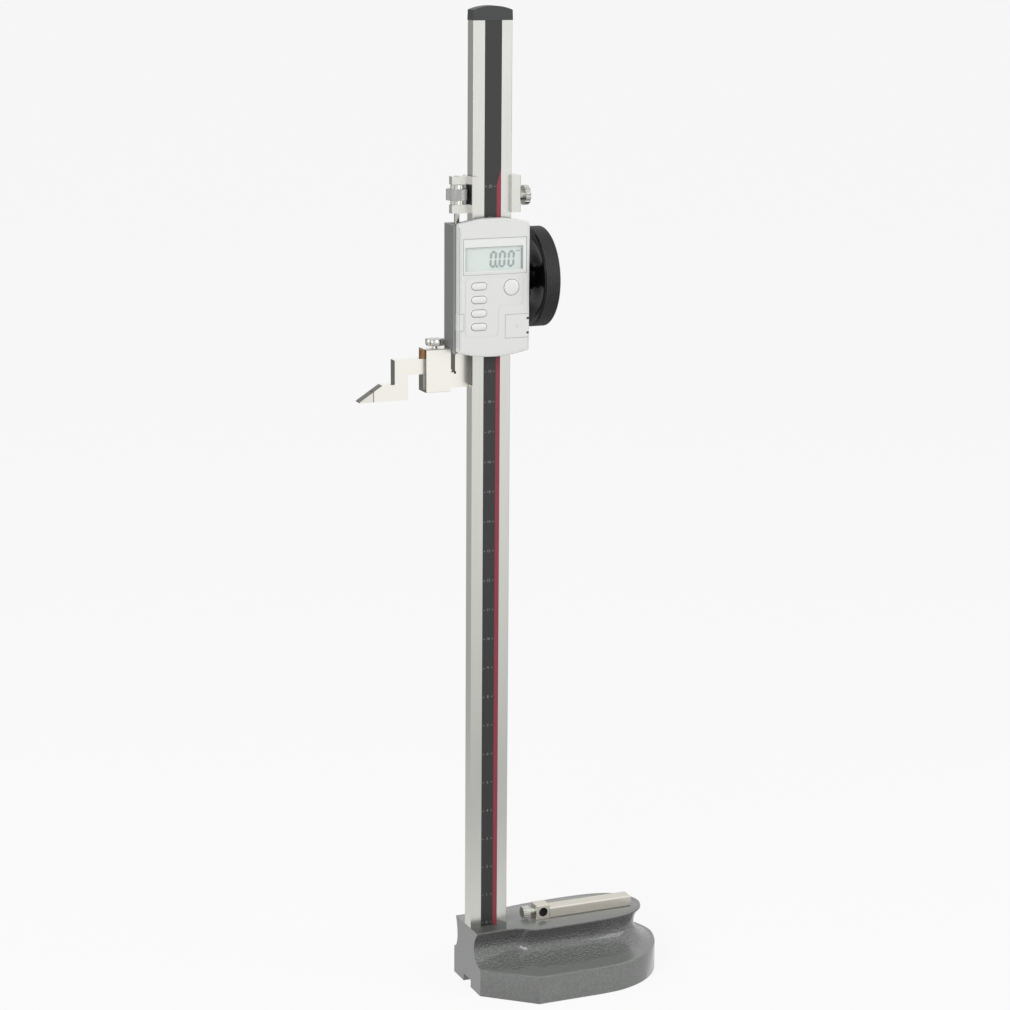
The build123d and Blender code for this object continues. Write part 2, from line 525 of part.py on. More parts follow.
with BuildPart() as rear_case:
    with BuildSketch(plane_y(MODULE_X, -6.65, 0)):
        add(module_outline(0.3))
    extrude(amount=-6.65 - BEZEL_BACK)
    fillet(rear_case.edges().filter_by(Axis.Y), 1.8)
    with BuildSketch(plane_y(0, -6.65, 0)):
        with BuildLine():
            Polyline((FRAME_LEFT + 3.2, SLIDER_BOTTOM + 4.8), (FRAME_RIGHT + 0.2, SLIDER_BOTTOM + 4.8),
                     (FRAME_RIGHT + 0.2, SLIDER_TOP - 3.8), (FRAME_LEFT + 3.2, SLIDER_TOP - 3.8), close=True)
        make_face()
    extrude(amount=-6.65 - PLATE_FRONT + 0.1, mode=Mode.SUBTRACT)
    block((MODULE_LEFT + 0.3, -6.65, MODULE_BOTTOM + 2), (FRAME_LEFT + 3.2, FRAME_FRONT, MODULE_TOP - 2))
    cut_block((COLUMN_X - 7, BEZEL_BACK - 1, 590), (COLUMN_X + 7, -6, 640))
    with BuildSketch(plane_y(0, -6, 0)):
        with Locations(*CASE_POSTS):
            Circle(1.15)
    extrude(amount=6, mode=Mode.SUBTRACT)
save(rear_case.part, "rear_case")

with BuildPart() as case_screws:
    for x, z in CASE_POSTS:
        with BuildSketch(plane_y(x, -10.2, z)):
            Circle(1.0)
        extrude(amount=4.6)
save(case_screws.part, "case_screws")

with BuildPart() as reader_head:
    block((COLUMN_X - 6.8, -7.7, 590.2), (COLUMN_X + 6.8, -6.5, 639.8))
    block((COLUMN_X - 4, -11.3, 600), (COLUMN_X + 4, -7.7, 630))
save(reader_head.part, "reader_head")

CELL_CENTRE = (COLUMN_X + 17.0, 578.0)
with BuildPart() as coin_cell:
    with BuildSketch(plane_y(CELL_CENTRE[0], -12.7, CELL_CENTRE[1])):
        Circle(8.0)
    extrude(amount=3.2)
    fillet(coin_cell.faces().sort_by(Axis.Y)[0].edges(), 0.4)
save(coin_cell.part, "coin_cell")

with BuildPart() as battery_contact:
    block((COLUMN_X + 10, -12.6, 575.0), (COLUMN_X + 24, -12.3, 581.0))
save(battery_contact.part, "battery_contact")

with BuildPart() as data_socket:
    block((PORT_RIGHT + 0.2, -15.6, PORT_Z[0] + 1), (PORT_RIGHT + 4.0, -12.7, PORT_Z[1] - 1))
save(data_socket.part, "data_socket")

with BuildPart() as battery_hatch:
    right = MODULE_LEFT + MODULE_WIDTH
    block((HATCH_X + 0.15, MODULE_FRONT, HATCH_Z[0] + 0.15), (right, MODULE_FRONT + 1.5, HATCH_Z[1] - 0.15))
    block((right - 1.6, MODULE_FRONT, HATCH_Z[0] + 0.15), (right, BEZEL_BACK - 1.0, HATCH_Z[1] - 0.15))
    fillet(battery_hatch.edges().filter_by(Axis.Z).filter_by_position(Axis.X, right - 0.1, right + 0.1)
           .sort_by(Axis.Y)[0], 1.0)
    with BuildSketch(plane_y(0, MODULE_FRONT + 0.4, 0)):
        with Locations((COLUMN_X + 18.0, 578.0)):
            RegularPolygon(1.6, 3)
    extrude(amount=1, mode=Mode.SUBTRACT)
    for z in (HATCH_Z[0] + 3.5, HATCH_Z[1] - 3.8):
        cut_block((right - 2.6, MODULE_FRONT - 1, z - 0.8), (right - 1.1, MODULE_FRONT + 0.9, z + 0.8))
save(battery_hatch.part, "battery_hatch")

with BuildPart() as port_cover:
    low, high = PORT_Z[0] + 0.15, PORT_Z[1] - 0.15
    block((MODULE_LEFT - 0.8, MODULE_FRONT, low), (PORT_RIGHT - 0.15, MODULE_FRONT + 1.4, high))
    block((MODULE_LEFT - 0.8, MODULE_FRONT, low), (MODULE_LEFT + 0.8, BEZEL_BACK - 1.4, high))
    fillet(port_cover.edges().filter_by(Axis.Z).sort_by(Axis.X)[0], 0.5)
save(port_cover.part, "port_cover")

KEY_PROUD = 0.7
for name, height in KEY_HEIGHTS.items():
    with BuildPart() as key:
        with BuildSketch(plane_y(KEY_X, -15.3, height)):
            SlotOverall(KEY_LENGTH, KEY_WIDTH)
        extrude(amount=-15.3 - MODULE_FRONT + KEY_PROUD)
        fillet(key.faces().sort_by(Axis.Y)[0].edges(), 0.6)
        with BuildSketch(plane_y(KEY_X, -15.2, height)):
            SlotOverall(KEY_LENGTH + 1.6, KEY_WIDTH + 1.6)
        extrude(amount=0.7)
    save(key.part, name)

with BuildPart() as key_power:
    with BuildSketch(plane_y(POWER_KEY[0], -15.3, POWER_KEY[1])):
        Circle(POWER_KEY_RADIUS)
    extrude(amount=-15.3 - MODULE_FRONT + KEY_PROUD)
    fillet(key_power.faces().sort_by(Axis.Y)[0].edges(), 0.6)
    with BuildSketch(plane_y(POWER_KEY[0], -15.2, POWER_KEY[1])):
        Circle(POWER_KEY_RADIUS + 0.8)
    extrude(amount=0.7)
save(key_power.part, "key_power")

# ---------------------------------------------------------------- handwheel, shaft and pinion
WHEEL_LEFT = COLUMN_X + 37.8
WHEEL_RIGHT = COLUMN_X + 50.0
HUB_LEFT = FRAME_RIGHT + RUNNING
HUB_RADIUS = 9.0

with BuildPart() as handwheel:
    with BuildSketch(Plane(origin=(0, DRIVE_Y, DRIVE_Z), x_dir=(1, 0, 0), z_dir=(0, -1, 0))):
        with BuildLine():
            rim = Polyline((WHEEL_LEFT + 5.0, 30.0), (WHEEL_LEFT + 1.5, 37.0), (WHEEL_LEFT, 37.6),
                           (WHEEL_LEFT, WHEEL_RADIUS - 1.0), (WHEEL_LEFT + 1.0, WHEEL_RADIUS),
                           (WHEEL_RIGHT - 1.2, WHEEL_RADIUS), (WHEEL_RIGHT, WHEEL_RADIUS - 1.2),
                           (WHEEL_RIGHT, 36.0), (WHEEL_RIGHT - 2.0, 34.0))
            outer = ThreePointArc(rim @ 1, (WHEEL_RIGHT - 3.6, 24.0), (WHEEL_RIGHT - 3.0, 12.0))
            hub = Polyline(outer @ 1, (WHEEL_RIGHT - 0.5, 11.0), (WHEEL_RIGHT - 0.5, SHAFT_RADIUS),
                           (HUB_LEFT, SHAFT_RADIUS), (HUB_LEFT, HUB_RADIUS), (WHEEL_LEFT + 4.0, HUB_RADIUS + 2))
            ThreePointArc(hub @ 1, (WHEEL_LEFT + 6.6, 20.0), rim @ 0)
        make_face()
    revolve(axis=Axis((0, DRIVE_Y, DRIVE_Z), (1, 0, 0)))
save(handwheel.part, "handwheel")

with BuildPart() as drive_shaft:
    with BuildSketch(plane_x(COLUMN_X - 12, DRIVE_Y, DRIVE_Z)):
        Circle(SHAFT_RADIUS)
    extrude(amount=WHEEL_RIGHT - 1.0 - COLUMN_X + 12)
    with BuildSketch(plane_x(WHEEL_RIGHT - 9, DRIVE_Y, DRIVE_Z)):
        Circle(1.6)
    extrude(amount=9, mode=Mode.SUBTRACT)
save(drive_shaft.part, "drive_shaft")

with BuildPart() as wheel_screw:
    with BuildSketch(plane_x(WHEEL_RIGHT - 0.5, DRIVE_Y, DRIVE_Z)):
        Circle(4.5)
        RegularPolygon(1.8, 6, mode=Mode.SUBTRACT)
    extrude(amount=2.4)
    with BuildSketch(plane_x(WHEEL_RIGHT - 8, DRIVE_Y, DRIVE_Z)):
        Circle(1.55)
    extrude(amount=7.8)
save(wheel_screw.part, "wheel_screw")

with BuildPart() as pinion:
    tooth_root = PITCH_RADIUS - 1.25 * GEAR_MODULE
    tooth_tip = PITCH_RADIUS + GEAR_MODULE - 0.05
    with BuildSketch(plane_x(COLUMN_X - PINION_WIDTH / 2, DRIVE_Y, DRIVE_Z)):
        Circle(tooth_root)
        with PolarLocations(0, PINION_TEETH, start_angle=180):
            Polygon((tooth_root - 0.4, -0.8), (PITCH_RADIUS, -0.5), (tooth_tip, -0.2),
                    (tooth_tip, 0.2), (PITCH_RADIUS, 0.5), (tooth_root - 0.4, 0.8), align=None)
        Circle(SHAFT_RADIUS, mode=Mode.SUBTRACT)
    extrude(amount=PINION_WIDTH)
save(pinion.part, "pinion")

# ---------------------------------------------------------------- fine-adjusting carrier
CARRIER_Z = (670.3, 700.3)
CARRIER_LEFT = COLUMN_X - 19.2
CARRIER_RIGHT = COLUMN_X + 23.6
CARRIER_FRONT = -10.3
CARRIER_BACK = 10.5
LIP_LEFT = COLUMN_X - 15.4
LIP_RIGHT = COLUMN_X + 15.6
LUG_LEFT = COLUMN_X - 34.0
LUG_HEIGHTS = ((670.3, 677.3), (693.7, 700.3))
LUG_Y = (-3.0, 3.2)
LOCK_Z = 683.0
LOCK_NECK = COLUMN_X + 29.5
LOCK_HEAD_RADIUS = 8.2

with BuildPart() as carrier_frame:
    block((CARRIER_LEFT, CARRIER_FRONT, CARRIER_Z[0]), (CARRIER_RIGHT, CARRIER_BACK, CARRIER_Z[1]))
    chamfer(carrier_frame.edges().filter_by(Axis.Z), 0.6)
    cut_block((CHANNEL_LEFT, CHANNEL_FRONT, CARRIER_Z[0] - 1), (CHANNEL_RIGHT, CHANNEL_BACK, CARRIER_Z[1] + 1))
    cut_block((LIP_LEFT, CARRIER_FRONT - 1, CARRIER_Z[0] - 1), (LIP_RIGHT, CHANNEL_FRONT + 1, CARRIER_Z[1] + 1))
    for low, high in LUG_HEIGHTS:
        block((LUG_LEFT, LUG_Y[0], low), (CARRIER_LEFT, LUG_Y[1], high))
    with BuildSketch(Plane.XY.offset(CARRIER_Z[0] - 1)):
        with Locations((ROD_X, 0)):
            Circle(ROD_RADIUS + FIT)
    extrude(amount=40, mode=Mode.SUBTRACT)
    cut_block((CHANNEL_RIGHT - 1, -4.2, LOCK_Z - 6.2), (CHANNEL_RIGHT + 1.7, 4.2, LOCK_Z + 6.2))
    with BuildSketch(plane_x(CHANNEL_RIGHT, 0, LOCK_Z)):
        Circle(2.5 + FIT)
    extrude(amount=10, mode=Mode.SUBTRACT)
save(carrier_frame.part, "carrier_frame")

with BuildPart() as lock_shoe:
    block((COLUMN_RIGHT + 0.1, -4.0, LOCK_Z - 6.0), (CHANNEL_RIGHT + 1.5, 4.0, LOCK_Z + 6.0))
save(lock_shoe.part, "lock_shoe")

with BuildPart() as carrier_lock_screw:
    with BuildSketch(plane_x(CHANNEL_RIGHT + 1.8, 0, LOCK_Z)):
        Circle(2.5)
    extrude(amount=12)
    with BuildSketch(plane_x(CARRIER_RIGHT + RUNNING, 0, LOCK_Z)):
        Circle(4.0)
    extrude(amount=LOCK_NECK - CARRIER_RIGHT)
    with BuildSketch(plane_x(LOCK_NECK, 0, LOCK_Z)):
        fluted_disc(LOCK_HEAD_RADIUS, 12, 1.5)
    extrude(amount=4.6)
    chamfer(carrier_lock_screw.faces().sort_by(Axis.X)[-1].edges(), 0.4)
save(carrier_lock_screw.part, "carrier_lock_screw")

NUT_RADIUS = 8.8
NUT_Z = (682.0, 691.2)
NUT_HUB_RADIUS = 5.6
with BuildPart() as adjusting_nut:
    with BuildSketch(Plane.XY.offset(NUT_Z[0])):
        with Locations((ROD_X, 0)):
            fluted_disc(NUT_RADIUS, 30, 0.55)
    extrude(amount=NUT_Z[1] - NUT_Z[0])
    with BuildSketch(Plane.XY.offset(LUG_HEIGHTS[0][1] + 0.15)):
        with Locations((ROD_X, 0)):
            Circle(NUT_HUB_RADIUS)
    extrude(amount=LUG_HEIGHTS[1][0] - LUG_HEIGHTS[0][1] - 0.3)
    with BuildSketch(Plane.XY.offset(LUG_HEIGHTS[0][1])):
        with Locations((ROD_X, 0)):
            Circle(ROD_RADIUS + FIT)
    extrude(amount=20, mode=Mode.SUBTRACT)
save(adjusting_nut.part, "adjusting_nut")

# ---------------------------------------------------------------- scriber and its clamp
CLAMP_X = (COLUMN_X - 55.4, COLUMN_X - 33.9)
CLAMP_Y = (-1.2, 16.1)
CLAMP_Z = (523.8, 559.4)
SCRIBER_BOTTOM = JAW_TOP + 0.1
SCRIBER_TOP = SCRIBER_BOTTOM + BAR_HEIGHT
SCRIBER_RIGHT = COLUMN_X - 34.5
SCRIBER_Y = JAW_Y
LEG_X = (COLUMN_X - 81.6, COLUMN_X - 70.0)
FOOT_BOTTOM, FOOT_TOP = 518.4, 532.6
BEVEL_X = COLUMN_X - 96.5
TIP_X = BASE_X - SCRIBER_OVERHANG
TIP_THICKNESS = 0.8
CARBIDE_X = COLUMN_X - 99.7
CLAMP_SCREW_X = (CLAMP_X[0] + CLAMP_X[1]) / 2
CLAMP_SCREW_Y = (JAW_Y[0] + JAW_Y[1]) / 2
HOLLOW_TOP = SCRIBER_TOP + 4.3

with BuildPart() as clamp_box:
    block((CLAMP_X[0], CLAMP_Y[0], CLAMP_Z[0]), (CLAMP_X[1], CLAMP_Y[1], CLAMP_Z[1]))
    chamfer(clamp_box.edges().filter_by(Axis.X), 0.5)
    cut_block((CLAMP_X[0] - 1, JAW_Y[0] - 0.2, JAW_BOTTOM - 0.1), (CLAMP_X[1] + 1, JAW_Y[1] + 0.2, HOLLOW_TOP))
    with BuildSketch(Plane.XY.offset(HOLLOW_TOP - 1)):
        with Locations((CLAMP_SCREW_X, CLAMP_SCREW_Y)):
            Circle(2.0 + FIT)
    extrude(amount=8, mode=Mode.SUBTRACT)
save(clamp_box.part, "clamp_box")

with BuildPart() as clamp_pad:
    with BuildSketch(Plane.XY.offset(SCRIBER_TOP + 0.1)):
        with Locations((CLAMP_SCREW_X, CLAMP_SCREW_Y)):
            SlotOverall(CLAMP_X[1] - CLAMP_X[0] + 0.4, BAR_THICKNESS)
    extrude(amount=3.8)
save(clamp_pad.part, "clamp_pad")

with BuildPart() as clamp_screw:
    with BuildSketch(Plane.XY.offset(SCRIBER_TOP + 4.0)):
        with Locations((CLAMP_SCREW_X, CLAMP_SCREW_Y)):
            Circle(2.0)
    extrude(amount=10)
    with BuildSketch(Plane.XY.offset(CLAMP_Z[1] + 1.0)):
        with Locations((CLAMP_SCREW_X, CLAMP_SCREW_Y)):
            fluted_disc(LOCK_HEAD_RADIUS, 8, 2.2)
    extrude(amount=6.6)
    chamfer(clamp_screw.faces().sort_by(Axis.Z)[-1].edges(), 0.6)
save(clamp_screw.part, "clamp_screw")

with BuildPart() as scriber:
    slope = (FOOT_TOP - FOOT_BOTTOM - TIP_THICKNESS) / (BEVEL_X - TIP_X)
    carbide_top = FOOT_TOP - slope * (BEVEL_X - CARBIDE_X)
    with BuildSketch(plane_y(0, SCRIBER_Y[0], 0)):
        with BuildLine():
            Polyline((SCRIBER_RIGHT, SCRIBER_TOP), (LEG_X[0], SCRIBER_TOP), (LEG_X[0], FOOT_TOP),
                     (BEVEL_X, FOOT_TOP), (CARBIDE_X, carbide_top), (CARBIDE_X + 0.6, FOOT_BOTTOM),
                     (LEG_X[1], FOOT_BOTTOM), (LEG_X[1], SCRIBER_BOTTOM), (SCRIBER_RIGHT, SCRIBER_BOTTOM),
                     close=True)
        make_face()
    extrude(amount=-BAR_THICKNESS)
    chamfer(scriber.faces().sort_by(Axis.X)[-1].edges(), 0.4)
save(scriber.part, "scriber")

with BuildPart() as carbide_tip:
    with BuildSketch(plane_y(0, SCRIBER_Y[0], 0)):
        with BuildLine():
            Polyline((CARBIDE_X, carbide_top), (TIP_X, FOOT_BOTTOM + TIP_THICKNESS), (TIP_X, FOOT_BOTTOM),
                     (CARBIDE_X + 0.6, FOOT_BOTTOM), close=True)
        make_face()
    extrude(amount=-BAR_THICKNESS)
save(carbide_tip.part, "carbide_tip")

# ---------------------------------------------------------------- dial indicator holder, stored on the deck
HOLDER_X = BASE_X + 60.3
HOLDER_SIZE = 12.7
HOLDER_Y = (-11.4, -11.4 + HOLDER_SIZE)
HOLDER_BAR_END = BASE_X + 151.0
HOLDER_HOLE = (HOLDER_X + 6.4, DECK_HEIGHT + 6.6)

with BuildPart() as holder_block:
    block((HOLDER_X, HOLDER_Y[0], DECK_HEIGHT), (HOLDER_X + HOLDER_SIZE, HOLDER_Y[1], DECK_HEIGHT + HOLDER_SIZE))
    chamfer(holder_block.edges(), 0.4)
    with BuildSketch(plane_y(HOLDER_HOLE[0], HOLDER_Y[1] + 1, HOLDER_HOLE[1])):
        Circle(STEM_HOLE_RADIUS)
    extrude(amount=HOLDER_SIZE + 2, mode=Mode.SUBTRACT)
    with BuildSketch(plane_x(HOLDER_X - 1, (HOLDER_Y[0] + HOLDER_Y[1]) / 2, HOLDER_HOLE[1])):
        Circle(1.5 + FIT)
    extrude(amount=5, mode=Mode.SUBTRACT)
save(holder_block.part, "holder_block")

with BuildPart() as holder_bar:
    block((HOLDER_X + HOLDER_SIZE, HOLDER_Y[0], DECK_HEIGHT), (HOLDER_BAR_END, HOLDER_Y[1], DECK_HEIGHT + BAR_THICKNESS))
    chamfer(holder_bar.edges().filter_by(Axis.X), 0.9)
    chamfer(holder_bar.faces().sort_by(Axis.X)[-1].edges(), 0.5)
save(holder_bar.part, "holder_bar")

with BuildPart() as holder_screw:
    screw_y = (HOLDER_Y[0] + HOLDER_Y[1]) / 2
    with BuildSketch(plane_x(HOLDER_X - 11.3, screw_y, HOLDER_HOLE[1])):
        fluted_disc(5.2, 16, 0.7)
    extrude(amount=6.2)
    with BuildSketch(plane_x(HOLDER_X - 5.1, screw_y, HOLDER_HOLE[1])):
        Circle(3.0)
    extrude(amount=4.8)
    with BuildSketch(plane_x(HOLDER_X - 0.4, screw_y, HOLDER_HOLE[1])):
        Circle(1.5)
    extrude(amount=2.7)
save(holder_screw.part, "holder_screw")
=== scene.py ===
"""Digital height gauge: its finishes, scale, display, grips and studio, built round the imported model.

Every length is in metres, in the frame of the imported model: the gauge stands on Z = 0, X runs along the
base from the scriber to the nose, and Y runs from front to back.
"""
import json
from math import cos, pi, radians, sin, tau

import bmesh
import bpy
from mathutils import Matrix, Vector


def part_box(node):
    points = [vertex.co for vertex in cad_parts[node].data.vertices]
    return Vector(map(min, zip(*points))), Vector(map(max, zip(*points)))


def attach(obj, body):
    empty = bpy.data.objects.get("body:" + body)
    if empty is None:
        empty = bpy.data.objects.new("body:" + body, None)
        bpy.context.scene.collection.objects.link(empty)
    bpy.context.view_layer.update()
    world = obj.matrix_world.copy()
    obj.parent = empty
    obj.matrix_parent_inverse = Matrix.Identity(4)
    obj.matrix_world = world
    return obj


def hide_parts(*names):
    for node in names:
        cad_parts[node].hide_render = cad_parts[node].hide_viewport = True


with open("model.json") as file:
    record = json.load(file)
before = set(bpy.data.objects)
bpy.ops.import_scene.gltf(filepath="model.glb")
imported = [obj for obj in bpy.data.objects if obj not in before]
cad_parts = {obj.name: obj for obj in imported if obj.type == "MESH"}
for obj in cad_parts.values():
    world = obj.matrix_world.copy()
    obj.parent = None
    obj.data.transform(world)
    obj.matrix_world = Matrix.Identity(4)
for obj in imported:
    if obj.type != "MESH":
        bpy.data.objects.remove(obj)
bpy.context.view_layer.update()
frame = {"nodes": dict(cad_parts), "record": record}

bl_info = {
    "name": "Height gauge",
    "version": (1, 0, 0),
    "blender": (4, 5, 0),
    "location": "3D View > Sidebar > Height gauge",
    "description": "Dresses the packed height gauge with its finishes, scale, display, grips and studio",
    "category": "Object",
}

MM = 0.001
COLUMN_LOW, COLUMN_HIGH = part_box("column")
STRIP_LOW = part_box("scale_strip")[0]
STRIPE_LOW, STRIPE_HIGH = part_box("red_stripe")
BASE_LOW, BASE_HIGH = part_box("base_casting")
BEZEL_LOW, BEZEL_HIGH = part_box("front_bezel")
LENS_LOW, LENS_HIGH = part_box("display_window")
PANEL_LOW, PANEL_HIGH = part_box("lcd_panel")
WHEEL_LOW, WHEEL_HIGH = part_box("handwheel")
NUT_LOW, NUT_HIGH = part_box("adjusting_nut")
ROD_LOW, ROD_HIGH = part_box("feed_rod")
CARRIER_LOW, CARRIER_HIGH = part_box("carrier_frame")
BASE_X = BASE_LOW.x
DECK_Z = BASE_HIGH.z


# ---------------------------------------------------------------- colours and small tools
def linear(hex_colour):
    """Turns an sRGB hex colour such as "#8A8C8B" into the linear RGBA that Blender's shaders take."""
    values = [int(hex_colour[i:i + 2], 16) / 255 for i in (1, 3, 5)]
    return tuple(v / 12.92 if v <= 0.04045 else ((v + 0.055) / 1.055) ** 2.4 for v in values) + (1.0,)


def colour(name, description, hex_colour):
    """A colour that a user can change."""
    return bpy.props.FloatVectorProperty(
        name=name, description=description, subtype="COLOR", size=4, min=0, max=1, default=linear(hex_colour))


def length(name, description, metres):
    """A length that a user can change."""
    return bpy.props.FloatProperty(
        name=name, description=description, unit="LENGTH", precision=5, min=0, default=metres)


class GaugeColours(bpy.types.PropertyGroup):
    """The colours of the gauge's finishes."""
    enamel: colour("Enamel", "Hammered enamel on the base casting", "#767876")
    steel: colour("Ground steel", "Column and carrier", "#D9D9D4")
    lapped: colour("Lapped steel", "Scriber, jaw and clamp", "#F4F2EA")
    # Painted shade: the colour of lapped steel faces that turn to the left, and of the sheet behind the jaw.
    skin: colour("Hardened skin", "Unground ends of the scriber, jaw and clamp", "#7A7B75")
    drawn: colour("Drawn steel", "Bar and block of the indicator holder", "#D6D2C8")
    turned: colour("Turned steel", "Screws, rod and shaft", "#B5B4B0")
    knurled: colour("Knurled steel", "Fine knurl of the adjusting nut", "#A6A6A4")
    scale: colour("Scale ground", "Dark ground of the scale strip", "#282828")
    ink: colour("Scale ink", "Divisions and numbers on the scale", "#8E908C")
    red: colour("Red stripe", "Stripe beside the scale", "#8A3440")
    cap: colour("Column cap", "Moulded cap on the column", "#363838")
    slider: colour("Slider paint", "Satin paint on the slider frame", "#757776")
    silver: colour("Silver plastic", "Display module and covers", "#E7E8E6")
    key: colour("Keys", "Domed keys of the display module", "#ECEDEC")
    lcd: colour("Display ground", "Reflector behind the liquid crystal", "#E4EFE9")
    segment: colour("Display segment", "Liquid crystal digits", "#8A9A9B")
    wheel: colour("Handwheel", "Phenolic handwheel", "#101011")
    bronze: colour("Bronze", "Clamp pad, gib and bushes", "#8A6848")


class GaugeSizes(bpy.types.PropertyGroup):
    """The sizes of the gauge's drawn and knurled details."""
    division_step: length("Division step", "Distance between two numbered divisions", 25.4 * MM)
    division_start: length("First division", "Height of division 0 above the surface", 56.6 * MM)
    division_length: length("Division length", "Length of each short line", 1.5 * MM)
    division_line: length("Division line", "Thickness of each line", 0.38 * MM)
    number_height: length("Number height", "Height of the scale's numbers", 2.3 * MM)
    digit_height: length("Digit height", "Height of a digit on the display", 13.8 * MM)
    digit_width: length("Digit width", "Width of a digit on the display", 6.2 * MM)
    digit_step: length("Digit step", "Distance between two digits", 7.9 * MM)
    segment_width: length("Segment width", "Width of a bar of a digit", 2.0 * MM)
    knurl_pitch: length("Knurl pitch", "Distance between two ridges of a knurl", 1.1 * MM)
    grip_pitch: length("Grip pitch", "Distance between two grooves round the handwheel's rim", 1.5 * MM)
    hammer_cell: length("Hammer cell", "Width of a dimple in the hammered enamel", 2.0 * MM)


class GaugeStage(bpy.types.PropertyGroup):
    """The studio's colours and lamp power."""
    floor: colour("Floor", "Colour of the studio floor", "#FDFDFD")
    backdrop: colour("Backdrop", "Colour behind the gauge", "#FEFEFE")
    key_power: bpy.props.FloatProperty(
        name="Key lamp", description="Power of the large soft lamp", subtype="POWER", default=52.0, min=0)
    fill_power: bpy.props.FloatProperty(
        name="Fill lamp", description="Power of the lamp on the other side", subtype="POWER", default=19.0, min=0)


def set_inputs(tree, node, inputs):
    """Sets or links inputs of a node."""
    for socket, value in inputs.items():
        if isinstance(value, bpy.types.NodeSocket):
            tree.links.new(value, node.inputs[socket])
        else:
            node.inputs[socket].default_value = value


def add(tree, kind, inputs=None, **settings):
    """Adds a node, sets its properties, and sets or links each of its inputs."""
    node = tree.nodes.new(kind)
    for name, value in settings.items():
        setattr(node, name, value)
    set_inputs(tree, node, inputs or {})
    return node


MIX_FACTOR, MIX_A, MIX_B, MIX_RESULT = 0, 6, 7, 2      # the sockets of a Mix node set to colours


def new_material(name):
    """Starts a material and returns it with its tree and its surface shader."""
    material = bpy.data.materials.new(name)
    material.use_nodes = True
    material.node_tree.nodes.clear()
    tree = material.node_tree
    shader = add(tree, "ShaderNodeBsdfPrincipled")
    add(tree, "ShaderNodeOutputMaterial", {"Surface": shader.outputs["BSDF"]})
    return material, tree, shader


def shade(rgba, factor):
    """A colour made lighter or darker."""
    return tuple(min(1.0, c * factor) for c in rgba[:3]) + (1.0,)


# ---------------------------------------------------------------- finishes
CLOUD_SIZE = 22 * MM
LONG_GRAIN = 0.006        # a grain drawn out along one axis is over 150 times as long as it is wide


def grained(name, base, roughness, size, depth, stretch=(1, 1, 1), contrast=0.05, **inputs):
    """Makes a material whose tone and relief follow one fine grain, and whose gloss varies in soft clouds."""
    material, tree, shader = new_material(name)
    where = add(tree, "ShaderNodeTexCoord")
    along = add(tree, "ShaderNodeMapping", {"Vector": where.outputs["Object"], "Scale": stretch})
    grain = add(tree, "ShaderNodeTexNoise", {
        "Vector": along.outputs["Vector"], "Scale": 1 / size, "Detail": 3.0, "Roughness": 0.6})
    cloud = add(tree, "ShaderNodeTexNoise", {
        "Vector": where.outputs["Object"], "Scale": 1 / CLOUD_SIZE, "Detail": 2.0})
    tone = add(tree, "ShaderNodeMix", {
        MIX_FACTOR: grain.outputs["Fac"], MIX_A: shade(base, 1 - contrast), MIX_B: shade(base, 1 + contrast)},
        data_type="RGBA")
    gloss = add(tree, "ShaderNodeMapRange", {
        "Value": cloud.outputs["Fac"], "From Min": 0.3, "From Max": 0.7,
        "To Min": roughness * 0.95, "To Max": roughness * 1.05})
    relief = add(tree, "ShaderNodeBump", {"Height": grain.outputs["Fac"], "Distance": depth})
    set_inputs(tree, shader, {
        "Base Color": tone.outputs[MIX_RESULT], "Roughness": gloss.outputs["Result"],
        "Normal": relief.outputs["Normal"], **inputs})
    return material


